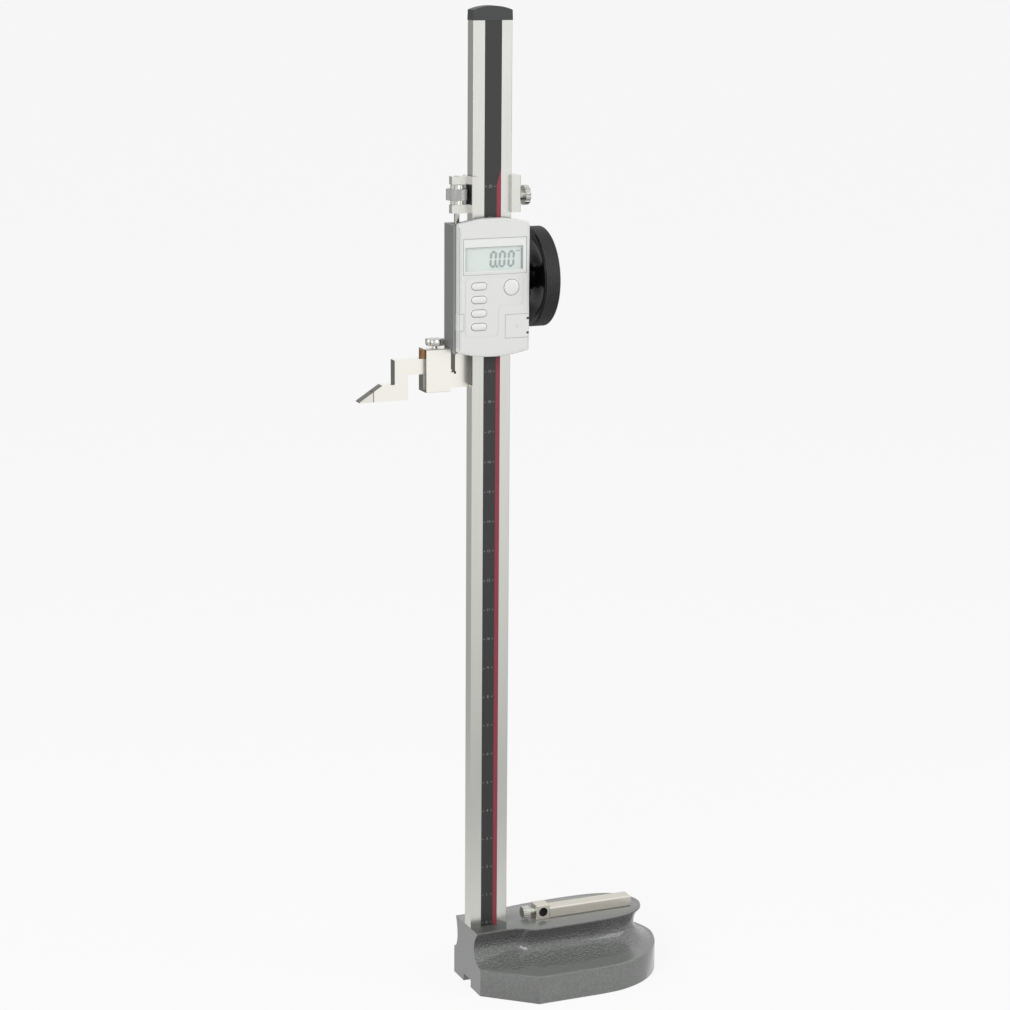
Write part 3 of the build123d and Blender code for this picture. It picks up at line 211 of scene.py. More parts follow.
def hammered_enamel(colours, sizes):
    """Hammered enamel on sand-cast iron: a glossy coat that draws into dimples, deepest where it runs into the cove.

    Under the deck's lip the colour is painted darker, as painted shade where the lip shades the cove.

    The real dimples are about 1.5 mm wide; they are drawn wider, so that they show from two metres away.
    """
    material, tree, shader = new_material("hammered_enamel")
    where = add(tree, "ShaderNodeTexCoord")
    waver = add(tree, "ShaderNodeTexNoise", {
        "Vector": where.outputs["Object"], "Scale": 1 / (1.5 * sizes.hammer_cell), "Detail": 2.0})
    wander = add(tree, "ShaderNodeVectorMath", {0: waver.outputs["Color"], "Scale": 1.4 * sizes.hammer_cell},
                 operation="SCALE")
    moved = add(tree, "ShaderNodeVectorMath", {0: where.outputs["Object"], 1: wander.outputs["Vector"]},
                operation="ADD")
    cells = add(tree, "ShaderNodeTexVoronoi", {
        "Vector": moved.outputs["Vector"], "Scale": 1 / sizes.hammer_cell, "Smoothness": 0.4},
        feature="SMOOTH_F1")
    dimple = add(tree, "ShaderNodeMapRange", {
        "Value": cells.outputs["Distance"], "From Min": 0.15, "From Max": 0.75, "To Min": 0.0, "To Max": 1.0},
        interpolation_type="SMOOTHSTEP")
    tone = add(tree, "ShaderNodeMix", {
        MIX_FACTOR: dimple.outputs["Result"], MIX_A: shade(colours.enamel, 1.06),
        MIX_B: shade(colours.enamel, 0.84)}, data_type="RGBA")
    height = add(tree, "ShaderNodeSeparateXYZ", {"Vector": where.outputs["Object"]})
    run = add(tree, "ShaderNodeMapRange", {
        "Value": height.outputs["Z"], "From Min": RIM_TOP - 2 * MM, "From Max": RIM_TOP + 3 * MM,
        "To Min": 0.2, "To Max": 1.0}, interpolation_type="SMOOTHSTEP")
    relief = add(tree, "ShaderNodeBump", {
        "Height": dimple.outputs["Result"], "Distance": 0.8 * MM, "Strength": run.outputs["Result"]})
    # Painted shade: the enamel darkens towards the deck's lip, where the lip shades the cove.
    lip_shade = add(tree, "ShaderNodeMapRange", {
        "Value": height.outputs["Z"], "From Min": WAIST_TOP - 8 * MM, "From Max": WAIST_TOP + 8 * MM,
        "To Min": 0.0, "To Max": 0.8}, interpolation_type="SMOOTHSTEP")
    shaded = add(tree, "ShaderNodeMix", {
        MIX_FACTOR: lip_shade.outputs["Result"], MIX_A: tone.outputs[MIX_RESULT], MIX_B: shade(colours.enamel, 0.42)},
        data_type="RGBA")
    set_inputs(tree, shader, {
        "Base Color": shaded.outputs[MIX_RESULT], "Roughness": 0.4, "Normal": relief.outputs["Normal"],
        "Coat Weight": 1.0, "Coat Roughness": 0.12})
    return material


def finishes(colours, sizes):
    """Makes every finish once and returns them by name."""
    steel_depth = 0.0012 * MM
    return {
        "hammered": hammered_enamel(colours, sizes),
        # Enamel over ground iron: even and satin, with faint long sanding marks under the paint. It is also painted 14
        # % lighter than the enamel, as painted light on the deck and the flat end.
        "base_paint": grained("satin_enamel", shade(colours.enamel, 1.14), 0.24, 3 * MM, 0.004 * MM, contrast=0.04,
                              **{"Coat Weight": 0.3, "Coat Roughness": 0.2}),
        # Painted shade: dark, smooth enamel strips on the deck in front of the column's foot, for the shade and dark
        # reflection there.
        "seat_shade": grained("painted_seat_shade", shade(colours.enamel, 0.42), 0.5, 2 * MM, 0.01 * MM, contrast=0.08),
        # Surface-ground stainless steel: fine straight lines along the column, bright and slightly warm.
        "ground_steel": grained("ground_stainless_steel", colours.steel, 0.26, 0.7 * MM, steel_depth,
                                stretch=(1, 1, LONG_GRAIN), contrast=0.07, Metallic=1.0),
        # Lapped gauge steel of the scriber and its clamp: paler, even, with hardly any grain.
        "lapped": lapped_steel("lapped_steel", colours.lapped, colours.skin),
        # Painted shade: a dark, dull sheet on the column's left face behind the jaw, for the shade and dark reflection
        # there.
        "skin": grained("painted_left_shade", shade(colours.skin, 0.5), 0.5, 0.5 * MM, steel_depth, contrast=0.1),
        # Cold-drawn steel bar: satin and warm, with lines along its length.
        "drawn": grained("drawn_steel", colours.drawn, 0.42, 0.6 * MM, steel_depth,
                         stretch=(LONG_GRAIN * 2, 1, 1), contrast=0.06, Metallic=1.0),
        # Turned steel: darker, with close rings that catch the light.
        "tool_steel": grained("turned_steel", colours.turned, 0.22, 0.4 * MM, steel_depth, Metallic=1.0),
        # Chromed steel heads with cut flutes: bright lobes between dark flutes.
        "knurled_steel": grained("chromed_steel", shade(colours.steel, 0.8), 0.28, 0.6 * MM, steel_depth, Metallic=1.0),
        # Fine straight knurl on plain steel: its small ridges scatter the light to an even grey.
        "fine_knurl": grained("knurled_steel", colours.knurled, 0.42, 0.6 * MM, steel_depth, Metallic=1.0),
        # Sintered carbide, ground: a little warmer and darker than the steel beside it.
        "carbide": lapped_steel("ground_carbide", shade(colours.lapped, 0.9), colours.skin),
        # Silver braze between the two: a dull grey line.
        "braze": grained("silver_braze", linear("#8C8D8A"), 0.5, 0.4 * MM, steel_depth, Metallic=0.5),
        # Bearing bronze, machined: brown, with soft tool marks.
        "bronze": grained("machined_bronze", colours.bronze, 0.38, 0.4 * MM, steel_depth,
                          stretch=(LONG_GRAIN * 8, 1, 1), contrast=0.12, Metallic=1.0),
        # Drawn nickel-plated steel of the coin cell and its contact.
        "cell_steel": grained("drawn_nickel_plate", colours.turned, 0.25, 0.5 * MM, steel_depth, Metallic=1.0),
        # Printed lacquer on steel: matt black with a faint vertical texture.
        "scale_black": grained("printed_lacquer", colours.scale, 0.5, 0.6 * MM, 0.006 * MM,
                               stretch=(1, 1, LONG_GRAIN * 4), contrast=0.10),
        "red": grained("red_lacquer", colours.red, 0.45, 0.6 * MM, 0.006 * MM,
                       stretch=(1, 1, LONG_GRAIN * 4), contrast=0.06),
        "ink": grained("white_printing_ink", colours.ink, 0.6, 0.4 * MM, 0.002 * MM),
        # Moulded ABS of the cap: fine spark-eroded grain.
        "cap_plastic": grained("moulded_abs", colours.cap, 0.5, 0.45 * MM, 0.015 * MM, contrast=0.08),
        "case_grey": grained("moulded_grey_abs", shade(colours.slider, 1.15), 0.5, 0.45 * MM, 0.012 * MM),
        "socket_black": grained("moulded_nylon", linear("#202020"), 0.5, 0.4 * MM, 0.01 * MM),
        # Satin stoving enamel on the milled slider.
        "frame_grey": grained("satin_stoving_enamel", colours.slider, 0.38, 0.5 * MM, 0.008 * MM,
                              stretch=(1, 1, LONG_GRAIN * 4), contrast=0.06),
        # Silver-painted ABS: pale, satin, with a very fine metallic grain.
        "module_silver": grained("silver_painted_abs", colours.silver, 0.36, 0.25 * MM, 0.004 * MM,
                                 contrast=0.025, Metallic=0.12),
        # Silicone rubber of the key mat.
        "rubber_grey": grained("moulded_silicone", linear("#2E3030"), 0.6, 0.4 * MM, 0.01 * MM),
        # Solder mask on glass-fibre laminate.
        "board_green": grained("solder_mask", linear("#1D5A3C"), 0.35, 0.6 * MM, 0.01 * MM, contrast=0.1),
        # Reflective film behind the liquid crystal: pale green, almost matt.
        "lcd_glass": grained("reflector_film", colours.lcd, 0.45, 1.2 * MM, 0.002 * MM, contrast=0.015),
        # White printing on the back of the lens, and the bare band above the display.
        "print_white": grained("screen_print", linear("#F0F2F0"), 0.4, 0.5 * MM, 0.001 * MM, contrast=0.01),
        "key_silver": grained("domed_silver_abs", colours.key, 0.3, 0.25 * MM, 0.003 * MM,
                              contrast=0.025, Metallic=0.15),
        "shadow_line": grained("shadowed_joint", linear("#7C7E7E"), 0.6, 0.4 * MM, 0.002 * MM),
        # Painted shade: grey lines round the window, the port cover and the hatch and along the bezel's rounded left
        # edge, where their edges shade.
        "seam": grained("painted_seam_shade", linear("#A4A6A6"), 0.6, 0.4 * MM, 0.002 * MM),
        "silver_bead": grained("silver_painted_bead", shade(colours.silver, 0.55), 0.4, 0.4 * MM, 0.004 * MM),
        # Painted shade: a near-black finish for sheets in holes, recesses and notches, where shade falls.
        "gap": grained("shadowed_recess", linear("#121212"), 0.7, 0.4 * MM, 0.01 * MM),
        # Spark-eroded texture of the hatch: close fine pimples.
        "hatch_silver": grained("textured_silver_abs", colours.silver, 0.42, 0.9 * MM, 0.03 * MM,
                                contrast=0.07, Metallic=0.12),
        "segment": grained("liquid_crystal", colours.segment, 0.4, 1.0 * MM, 0.001 * MM, contrast=0.03),
        # Phenolic resin, moulded and polished: deep black with sharp reflections.
        "wheel_black": grained("polished_phenolic", colours.wheel, 0.16, 2.5 * MM, 0.004 * MM,
                               contrast=0.1, **{"Specular IOR Level": 0.22}),
        # The same resin where the mould leaves it dull, on the ridged rim.
        "grip": grained("moulded_phenolic", shade(colours.wheel, 2.8), 0.5, 0.5 * MM, 0.012 * MM, contrast=0.12),
        "window_clear": clear_acrylic(),
    }


LEFT_SHADE_TURN = -0.4                  # a face gets the painted shade where its normal points this far to the left


def lapped_steel(name, ground, skin):
    """Lapped gauge steel: pale and even, with painted shade on faces that turn to the left, where they reflect the dark
    side of the studio.
    """
    material, tree, shader = new_material(name)
    where = add(tree, "ShaderNodeTexCoord")
    grain = add(tree, "ShaderNodeTexNoise", {
        "Vector": where.outputs["Object"], "Scale": 1 / (0.5 * MM), "Detail": 3.0, "Roughness": 0.6})
    axes = add(tree, "ShaderNodeSeparateXYZ", {"Vector": where.outputs["Normal"]})
    end = add(tree, "ShaderNodeMath", {0: axes.outputs["X"], 1: LEFT_SHADE_TURN}, operation="LESS_THAN")
    tone = add(tree, "ShaderNodeMix", {
        MIX_FACTOR: end.outputs["Value"], MIX_A: ground, MIX_B: skin}, data_type="RGBA")
    gloss = add(tree, "ShaderNodeMapRange", {
        "Value": grain.outputs["Fac"], "From Min": 0.3, "From Max": 0.7, "To Min": 0.28, "To Max": 0.34})
    relief = add(tree, "ShaderNodeBump", {"Height": grain.outputs["Fac"], "Distance": 0.001 * MM})
    set_inputs(tree, shader, {
        "Base Color": tone.outputs[MIX_RESULT], "Metallic": 1.0, "Roughness": gloss.outputs["Result"],
        "Normal": relief.outputs["Normal"]})
    return material


def clear_acrylic():
    """Polished clear acrylic: the display's lens, with faint polishing haze in its gloss."""
    material, tree, shader = new_material("polished_acrylic")
    where = add(tree, "ShaderNodeTexCoord")
    haze = add(tree, "ShaderNodeTexNoise", {"Vector": where.outputs["Object"], "Scale": 1 / CLOUD_SIZE})
    gloss = add(tree, "ShaderNodeMapRange", {"Value": haze.outputs["Fac"], "To Min": 0.02, "To Max": 0.08})
    set_inputs(tree, shader, {
        "Base Color": (1, 1, 1, 1), "Roughness": gloss.outputs["Result"], "IOR": 1.49, "Alpha": 0.12})
    return material


# ---------------------------------------------------------------- mesh tools
def piece(name, points, faces, material, body, slot, smooth_angle=None):
    """Makes a mesh piece from points and faces, gives it its finish and parents it to an empty named after its body."""
    mesh = bpy.data.meshes.new(name)
    mesh.from_pydata(points, [], faces)
    shell = bmesh.new()
    shell.from_mesh(mesh)
    bmesh.ops.recalc_face_normals(shell, faces=shell.faces)
    shell.to_mesh(mesh)
    shell.free()
    mesh.validate()
    if not mesh.polygons:
        raise RuntimeError(f"{name} has no faces")
    thing = bpy.data.objects.new(name, mesh)
    bpy.context.scene.collection.objects.link(thing)
    mesh.materials.append(material)
    if smooth_angle:
        mesh.shade_smooth()
        mesh.set_sharp_from_angle(angle=radians(smooth_angle))
    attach(thing, body)
    return thing


def slab(low, high):
    """Returns the points and faces of a box."""
    points = [(x, y, z) for x in (low[0], high[0]) for y in (low[1], high[1]) for z in (low[2], high[2])]
    return points, [(0, 1, 3, 2), (4, 6, 7, 5), (0, 4, 5, 1), (2, 3, 7, 6), (0, 2, 6, 4), (1, 5, 7, 3)]


def gather(shapes):
    """Joins several (points, faces) into one."""
    points, faces = [], []
    for more_points, more_faces in shapes:
        faces += [tuple(len(points) + i for i in face) for face in more_faces]
        points += more_points
    return points, faces


def plate(outline, front, back):
    """Returns a flat plate between two Y planes, from an outline of (x, z) points."""
    count = len(outline)
    points = [(x, front, z) for x, z in outline] + [(x, back, z) for x, z in outline]
    faces = [tuple(range(count)), tuple(range(2 * count - 1, count - 1, -1))]
    faces += [(i, (i + 1) % count, count + (i + 1) % count, count + i) for i in range(count)]
    return points, faces


def upright(outline, low, high):
    """Returns an upright block between two heights, from an outline of (x, y) points."""
    points, faces = plate(outline, low, high)
    return [(x, depth, height) for x, height, depth in points], faces


def slot_outline(middle, reach, radius, steps=10):
    """Returns the outline of a slot or a disc: two half circles whose centres lie a reach from the middle."""
    return [(middle[0] + side * (reach + radius * cos(pi * k / steps - pi / 2)),
             middle[1] + side * radius * sin(pi * k / steps - pi / 2)) for side in (1, -1) for k in range(steps + 1)]


def ridged_lathe(centre, axis, profile, ridges):
    """Returns a closed turned body whose profile holds (along, radius, depth of its ridges).

    Each ridge is a flat top and a flat bottom, a quarter of the pitch each, with slopes between them.
    """
    steps = ridges * 4
    across = (axis + 1) % 3, (axis + 2) % 3
    points, faces = [], []
    for along, radius, depth in profile:
        for k in range(steps):
            reach = radius - (depth if k % 4 > 1 else 0)
            point = list(centre)
            point[axis] = along
            point[across[0]] += reach * cos(tau * k / steps)
            point[across[1]] += reach * sin(tau * k / steps)
            points.append(tuple(point))
    rings = len(profile)
    for j in range(rings):
        low, high = j * steps, ((j + 1) % rings) * steps
        faces += [(low + k, low + (k + 1) % steps, high + (k + 1) % steps, high + k) for k in range(steps)]
    return points, faces


class GaugeOperator(bpy.types.Operator):
    """Shared by the gauge's operators: what the user set, and the finishes."""
    bl_options = {"REGISTER"}

    def settings(self):
        """Returns what the user set: colours, sizes and stage."""
        scene = bpy.context.scene
        return scene.gauge_colours, scene.gauge_sizes, scene.gauge_stage

    def finish(self, name):
        """Returns a finish by name, and makes them all the first time."""
        if not FINISHES:
            colours, sizes, _ = self.settings()
            FINISHES.update(finishes(colours, sizes))
        return FINISHES[name]


FINISHES = {}
KEYS = ("key_unit", "key_zero", "key_up", "key_down", "key_power")
OWN_FINISH = {            # parts whose finish differs from the rest of their material slot
    "scriber": "lapped", "clamp_box": "lapped", "jaw_arm": "lapped", "battery_hatch": "hatch_silver",
    "holder_bar": "drawn", "holder_block": "drawn", **dict.fromkeys(KEYS, "key_silver"),
}


class GAUGE_OT_finishes(GaugeOperator):
    """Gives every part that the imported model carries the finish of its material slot"""
    bl_idname = "gauge.finishes"
    bl_label = "Finishes"

    def execute(self, context):
        for row in frame["record"]["subparts"]:
            node = frame["nodes"][row["node"]]
            for i in range(len(node.data.materials)):
                node.data.materials[i] = self.finish(OWN_FINISH.get(row["node"], row["material_slot"]))
        return {"FINISHED"}


# ---------------------------------------------------------------- base casting
# Outlines of the rim, the waist and the deck, as (distance from the left end, half width). The cove is deeper in
# front than behind as far as the column, and steps out to its full width past it.
RIM = ((0, 30), (20.2, 47.5), (40.4, 65), (52, 65), (66, 65), (84, 65), (100, 65), (118, 63.4), (134, 58.3),
       (148, 50.2), (160, 38.5), (169.5, 22.5), (175, 0))
WAIST_FRONT = ((0, 15), (18, 15), (33, 15.3), (41, 17.6), (46, 21.4), (54, 23.9), (70, 24.8), (92, 25.2),
               (114, 24.8), (131, 22.9), (145, 18), (154, 10.6), (158, 0))
WAIST_BACK = ((0, 22.6), (18, 22.4), (33, 22.4), (41, 22.8), (46, 23.2), (54, 24), (70, 24.8), (92, 25.2),
              (114, 24.8), (131, 22.9), (145, 18), (154, 10.6), (158, 0))
DECK_FRONT = ((0, 22.4), (18, 21.7), (33, 21.9), (41, 24.4), (46, 28.6), (53, 31.5), (70, 32), (92, 31.8),
              (114, 31.2), (133, 29.2), (149, 23.8), (159, 14), (163, 0))
DECK_BACK = ((0, 26), (18, 25.8), (33, 25.9), (41, 26.4), (46, 27.2), (53, 28.6), (70, 30.2), (92, 31),
             (114, 31), (133, 29.2), (149, 23.8), (159, 14), (163, 0))
FLARE_CORNER = 2                 # the rim's outline turns sharply at this point and is straight before it
OUTLINE_STEPS = 6
COVE_STEPS = 16
RIM_TOP = 24.3 * MM
WAIST_TOP = 38.0 * MM
EDGE_ROUND = 0.5 * MM
GROOVE_HALF, GROOVE_TOP = 8.0 * MM, 6.5 * MM
SEAT_FRONT, SEAT_LINE, SEAT_SHADE_PROUD = -20.6 * MM, -11.0 * MM, 0.12 * MM      # painted shade strips in front of the column's foot
SEAT_SLANT = 0.42                # the filler's right end slants to the left towards the front
BORE_RADIUS, BORE_RISE, BORE_SHADE_INSET = 4.03 * MM, 6.6 * MM, 0.02 * MM     # painted shade: a black sleeve inside the holder's bore, for the dark of a deep hole
END_PROUD = 0.05 * MM            # the shell's left end stands this far in front of the column's left side


def half_outline(stations, corner=None):
    """Returns a smooth line through the stations, as (x, half width) points in metres."""
    line = []
    last = len(stations) - 1
    for i in range(last):
        p1, p2 = Vector(stations[i]), Vector(stations[i + 1])
        p0 = Vector(stations[i - 1]) if i and i != corner else 2 * p1 - p2
        if i + 1 == last:
            p3 = Vector((stations[i][0], -stations[i][1]))
        else:
            p3 = Vector(stations[i + 2]) if i + 1 != corner else 2 * p2 - p1
        for k in range(OUTLINE_STEPS):
            t = k / OUTLINE_STEPS
            line.append(0.5 * ((2 * p1) + (p2 - p0) * t + (2 * p0 - 5 * p1 + 4 * p2 - p3) * t ** 2
                               + (3 * p1 - p0 - 3 * p2 + p3) * t ** 3) * MM)
    return line + [Vector(stations[last]) * MM]


def cove_sections():
    """Lists the casting's sections from the table to the deck: height, rim share, deck share, inset."""
    steps = [i / COVE_STEPS for i in range(COVE_STEPS + 1)]
    lip = DECK_Z - 2 * EDGE_ROUND
    rows = [(0, 1, 0, EDGE_ROUND), (EDGE_ROUND, 1, 0, 0), (RIM_TOP - EDGE_ROUND, 1, 0, 0),
            (RIM_TOP - 0.3 * EDGE_ROUND, 1, 0, 0.3 * EDGE_ROUND)]
    rows += [(RIM_TOP + (WAIST_TOP - RIM_TOP) * (1 - cos(pi / 2 * s)), 1 - sin(pi / 2 * s), 0, EDGE_ROUND * (1 - s))
             for s in steps]
    rows += [(WAIST_TOP + (lip - WAIST_TOP) * s, 0, s * s, 0) for s in steps[1:]]
    return rows + [(DECK_Z - EDGE_ROUND, 0, 1, 0), (DECK_Z - 0.3 * EDGE_ROUND, 0, 1, 0.3 * EDGE_ROUND),
                   (DECK_Z, 0, 1, EDGE_ROUND)]


class GAUGE_OT_base(GaugeOperator):
    """Builds the cast base: a flared rim, a cove all round and a narrow deck"""
    bl_idname = "gauge.base"
    bl_label = "Base casting"

    def execute(self, context):
        rim = half_outline(RIM, FLARE_CORNER)
        sides = [(-1, half_outline(WAIST_FRONT), half_outline(DECK_FRONT)),
                 (1, half_outline(WAIST_BACK), half_outline(DECK_BACK))]
        count = len(rim)
        points, rows = [], cove_sections()
        for height, rim_share, deck_share, inset in rows:
            halves = []
            for sign, waist, deck in sides:
                half = []
                for r, w, d in zip(rim, waist, deck):
                    spot = w + rim_share * (r - w) + deck_share * (d - w)
                    half.append((BASE_X + (spot.x or -END_PROUD), sign * max(spot.y - inset, 0), height))
                halves.append(half)
            points += halves[0] + halves[1][-2::-1]
        ring = 2 * count - 1
        faces = []
        for j in range(len(rows) - 1):
            faces += [(j * ring + k, j * ring + k + 1, (j + 1) * ring + k + 1, (j + 1) * ring + k)
                      for k in range(ring - 1)]
        top = (len(rows) - 1) * ring
        # the left end is one flat face, and the deck and the underside are strips from front to back
        faces.append(tuple(j * ring for j in range(len(rows)))
                     + tuple(j * ring + ring - 1 for j in reversed(range(len(rows)))))
        for start in (0, top):
            faces += [(start + k, start + k + 1, start + ring - 2 - k, start + ring - 1 - k)
                      for k in range(count - 2)]
            faces.append((start + count - 2, start + count - 1, start + count))
        base = piece("base_shell", points, faces, self.finish("hammered"), "base", "base_paint", smooth_angle=38)
        base.data.materials.append(self.finish("base_paint"))
        # Painted light: faces that point straight up or straight along X get the lighter satin enamel.
        for polygon in base.data.polygons:
            if polygon.normal.z > 0.99 or abs(polygon.normal.x) > 0.99:
                polygon.material_index = 1
        cut = bpy.data.meshes.new("groove")
        cut_points, cut_faces = slab((BASE_X - MM, -GROOVE_HALF, -MM), (BASE_HIGH.x + MM, GROOVE_HALF, GROOVE_TOP))
        cut.from_pydata(cut_points, [], cut_faces)
        groove = bpy.data.objects.new("groove", cut)
        context.scene.collection.objects.link(groove)
        carve(base, groove)
        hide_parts("base_casting")
        # Painted shade: two dark strips on the deck in front of the column stand for the shade and dark reflection
        # there.
        strips = []
        for far, near in ((SEAT_FRONT, SEAT_LINE - 0.3 * MM), (SEAT_LINE + 0.3 * MM, COLUMN_LOW.y)):
            outline = [(BASE_X + 0.3 * MM, far), (COLUMN_HIGH.x + SEAT_SLANT * (far - COLUMN_LOW.y), far),
                       (COLUMN_HIGH.x + SEAT_SLANT * (near - COLUMN_LOW.y), near), (BASE_X + 0.3 * MM, near)]
            strips.append(upright(outline, DECK_Z - 0.1 * MM, DECK_Z + SEAT_SHADE_PROUD))
        piece("seat_painted_shade", *gather(strips), self.finish("seat_shade"), "base", "base_paint")
        # Painted shade: a near-black sleeve inside the holder's bore stands for the dark of the deep hole.
        block_low, block_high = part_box("holder_block")
        middle = ((block_low.x + block_high.x) / 2, BORE_RISE + block_low.z)
        rim = slot_outline(middle, 0, BORE_RADIUS - BORE_SHADE_INSET)
        ring = len(rim)
        lining = [(x, y, z) for y in (block_low.y - MARK_THICKNESS, block_high.y) for x, z in rim]
        piece("bore_painted_shade", lining, [(k, (k + 1) % ring, ring + (k + 1) % ring, ring + k) for k in range(ring)],
              self.finish("gap"), "indicator_holder", "ground_steel")
        return {"FINISHED"}


def carve(thing, tool):
    """Cuts the tool out of a piece for good, and removes the tool."""
    bpy.context.view_layer.update()
    modifier = thing.modifiers.new("carve", "BOOLEAN")
    modifier.operation, modifier.object, modifier.solver = "DIFFERENCE", tool, "EXACT"
    bpy.context.view_layer.update()
    graph = bpy.context.evaluated_depsgraph_get()
    carved = bpy.data.meshes.new_from_object(thing.evaluated_get(graph))
    thing.modifiers.clear()
    if len(carved.polygons) < 4:
        raise RuntimeError(f"carving {thing.name} left nothing")
    thing.data = carved
    bpy.data.objects.remove(tool)


# ---------------------------------------------------------------- scale
MARK_THICKNESS = 0.03 * MM
MARK_MARGIN = 0.9 * MM


def number_shape(text, height):
    """Returns the points and faces of a number, standing in the XZ plane round its own middle."""
    curve = bpy.data.curves.new("number", "FONT")
    curve.body, curve.size = text, height / 0.7
    curve.align_x, curve.align_y = "CENTER", "CENTER"
    curve.extrude, curve.resolution_u = MARK_THICKNESS / 2, 3
    maker = bpy.data.objects.new("number", curve)
    bpy.context.scene.collection.objects.link(maker)
    bpy.context.view_layer.update()
    mesh = bpy.data.meshes.new_from_object(maker.evaluated_get(bpy.context.evaluated_depsgraph_get()))
    shape = ([(v.co.x, -v.co.z, v.co.y) for v in mesh.vertices], [tuple(p.vertices) for p in mesh.polygons])
    bpy.data.objects.remove(maker)
    bpy.data.meshes.remove(mesh)
    return shape


def moved(shape, offset):
    """Returns a shape moved by an offset."""
    points, faces = shape
    return [tuple(a + b for a, b in zip(point, offset)) for point in points], faces


class GAUGE_OT_scale(GaugeOperator):
    """Prints the scale's divisions and numbers on the dark strip"""
    bl_idname = "gauge.scale"
    bl_label = "Scale"

    def execute(self, context):
        _, sizes, _ = self.settings()
        lines, numbers = [], []
        front = STRIP_LOW.y
        half = sizes.division_line / 2
        left, right = STRIP_LOW.x + MARK_MARGIN, STRIPE_LOW.x - MARK_MARGIN
        for i in range(int((STRIPE_HIGH.z - sizes.division_start) / sizes.division_step) + 1):
            z = sizes.division_start + i * sizes.division_step
            for low, high in ((left, left + sizes.division_length), (right - sizes.division_length, right)):
                lines.append(slab((low, front - MARK_THICKNESS, z - half), (high, front + MARK_THICKNESS, z + half)))
            numbers.append(moved(number_shape(str(i), sizes.number_height), ((left + right) / 2, front, z)))
        piece("scale_divisions", *gather(lines), self.finish("ink"), "base", "scale_black")
        piece("scale_numbers", *gather(numbers), self.finish("ink"), "base", "scale_black")
        return {"FINISHED"}


# ---------------------------------------------------------------- display
LIT = {"0": "abcdef"}            # the bars that are lit for each figure
READING = "000"
READING_RIGHT = 7.7 * MM         # from the panel's right edge to the last figure
READING_FOOT = 2.5 * MM          # from the panel's lower edge to the figures' feet
PANEL_MARGIN = 0.6 * MM          # the panel runs this far under the printed frame
EDGE_LINE, EDGE_REACH = 1.2 * MM, 1.5 * MM       # painted shade: a dark line at the right end of the display, for the shadow of the window's edge
POINT_LEFT = 1.1 * MM            # from the figure right of the point to the point
DASH_FROM, DASH_TO = 1.6 * MM, 5 * MM            # the dash after the last figure
SILL_HEIGHT = 1.6 * MM           # the silver sill below the printed frame
SILL_PROUD, PRINT_MARGIN = 0.09 * MM, 0.1 * MM
DIGIT_LEAN = 0.06
SEAM_SHADE = 0.4 * MM                  # painted shade line round the window, the port cover and the hatch
CORNER_DROP = 6 * MM             # the bezel's sides are this much shorter at each end than its middle
CORNER_INSET = 0.1 * MM
CASE_PROUD, CASE_GAP, BEAD_PROUD = 0.05 * MM, 0.1 * MM, 0.1 * MM
CASE_BACK, CASE_BEAD = -7.6 * MM, 1.2 * MM       # the case's edge on the slider, and the rounded bead that ends it
BAR_GAP = 0.15 * MM


def bar(start, end, width):
    """Returns the outline of one bar of a figure, pointed at both ends."""
    a, b = Vector(start), Vector(end)
    along = (b - a).normalized()
    a, b = a + along * BAR_GAP, b - along * BAR_GAP
    side = Vector((-along.y, along.x)) * width / 2
    tip = along * width / 2
    return [tuple(p) for p in (a, a + tip + side, b - tip + side, b, b - tip - side, a + tip - side)]


def figure_outlines(figure, width, height, thick):
    """Returns the outlines of a seven-bar figure's lit bars, from its lower left corner."""
    inset = thick / 2
    left, right, foot, middle, top = inset, width - inset, inset, height / 2, height - inset
    bars = {"a": ((left, top), (right, top)), "b": ((right, top), (right, middle)),
            "c": ((right, middle), (right, foot)), "d": ((left, foot), (right, foot)),
            "e": ((left, middle), (left, foot)), "f": ((left, top), (left, middle)),
            "g": ((left, middle), (right, middle))}
    return [[(x + z * DIGIT_LEAN, z) for x, z in bar(*bars[name], thick)] for name in LIT[figure]]


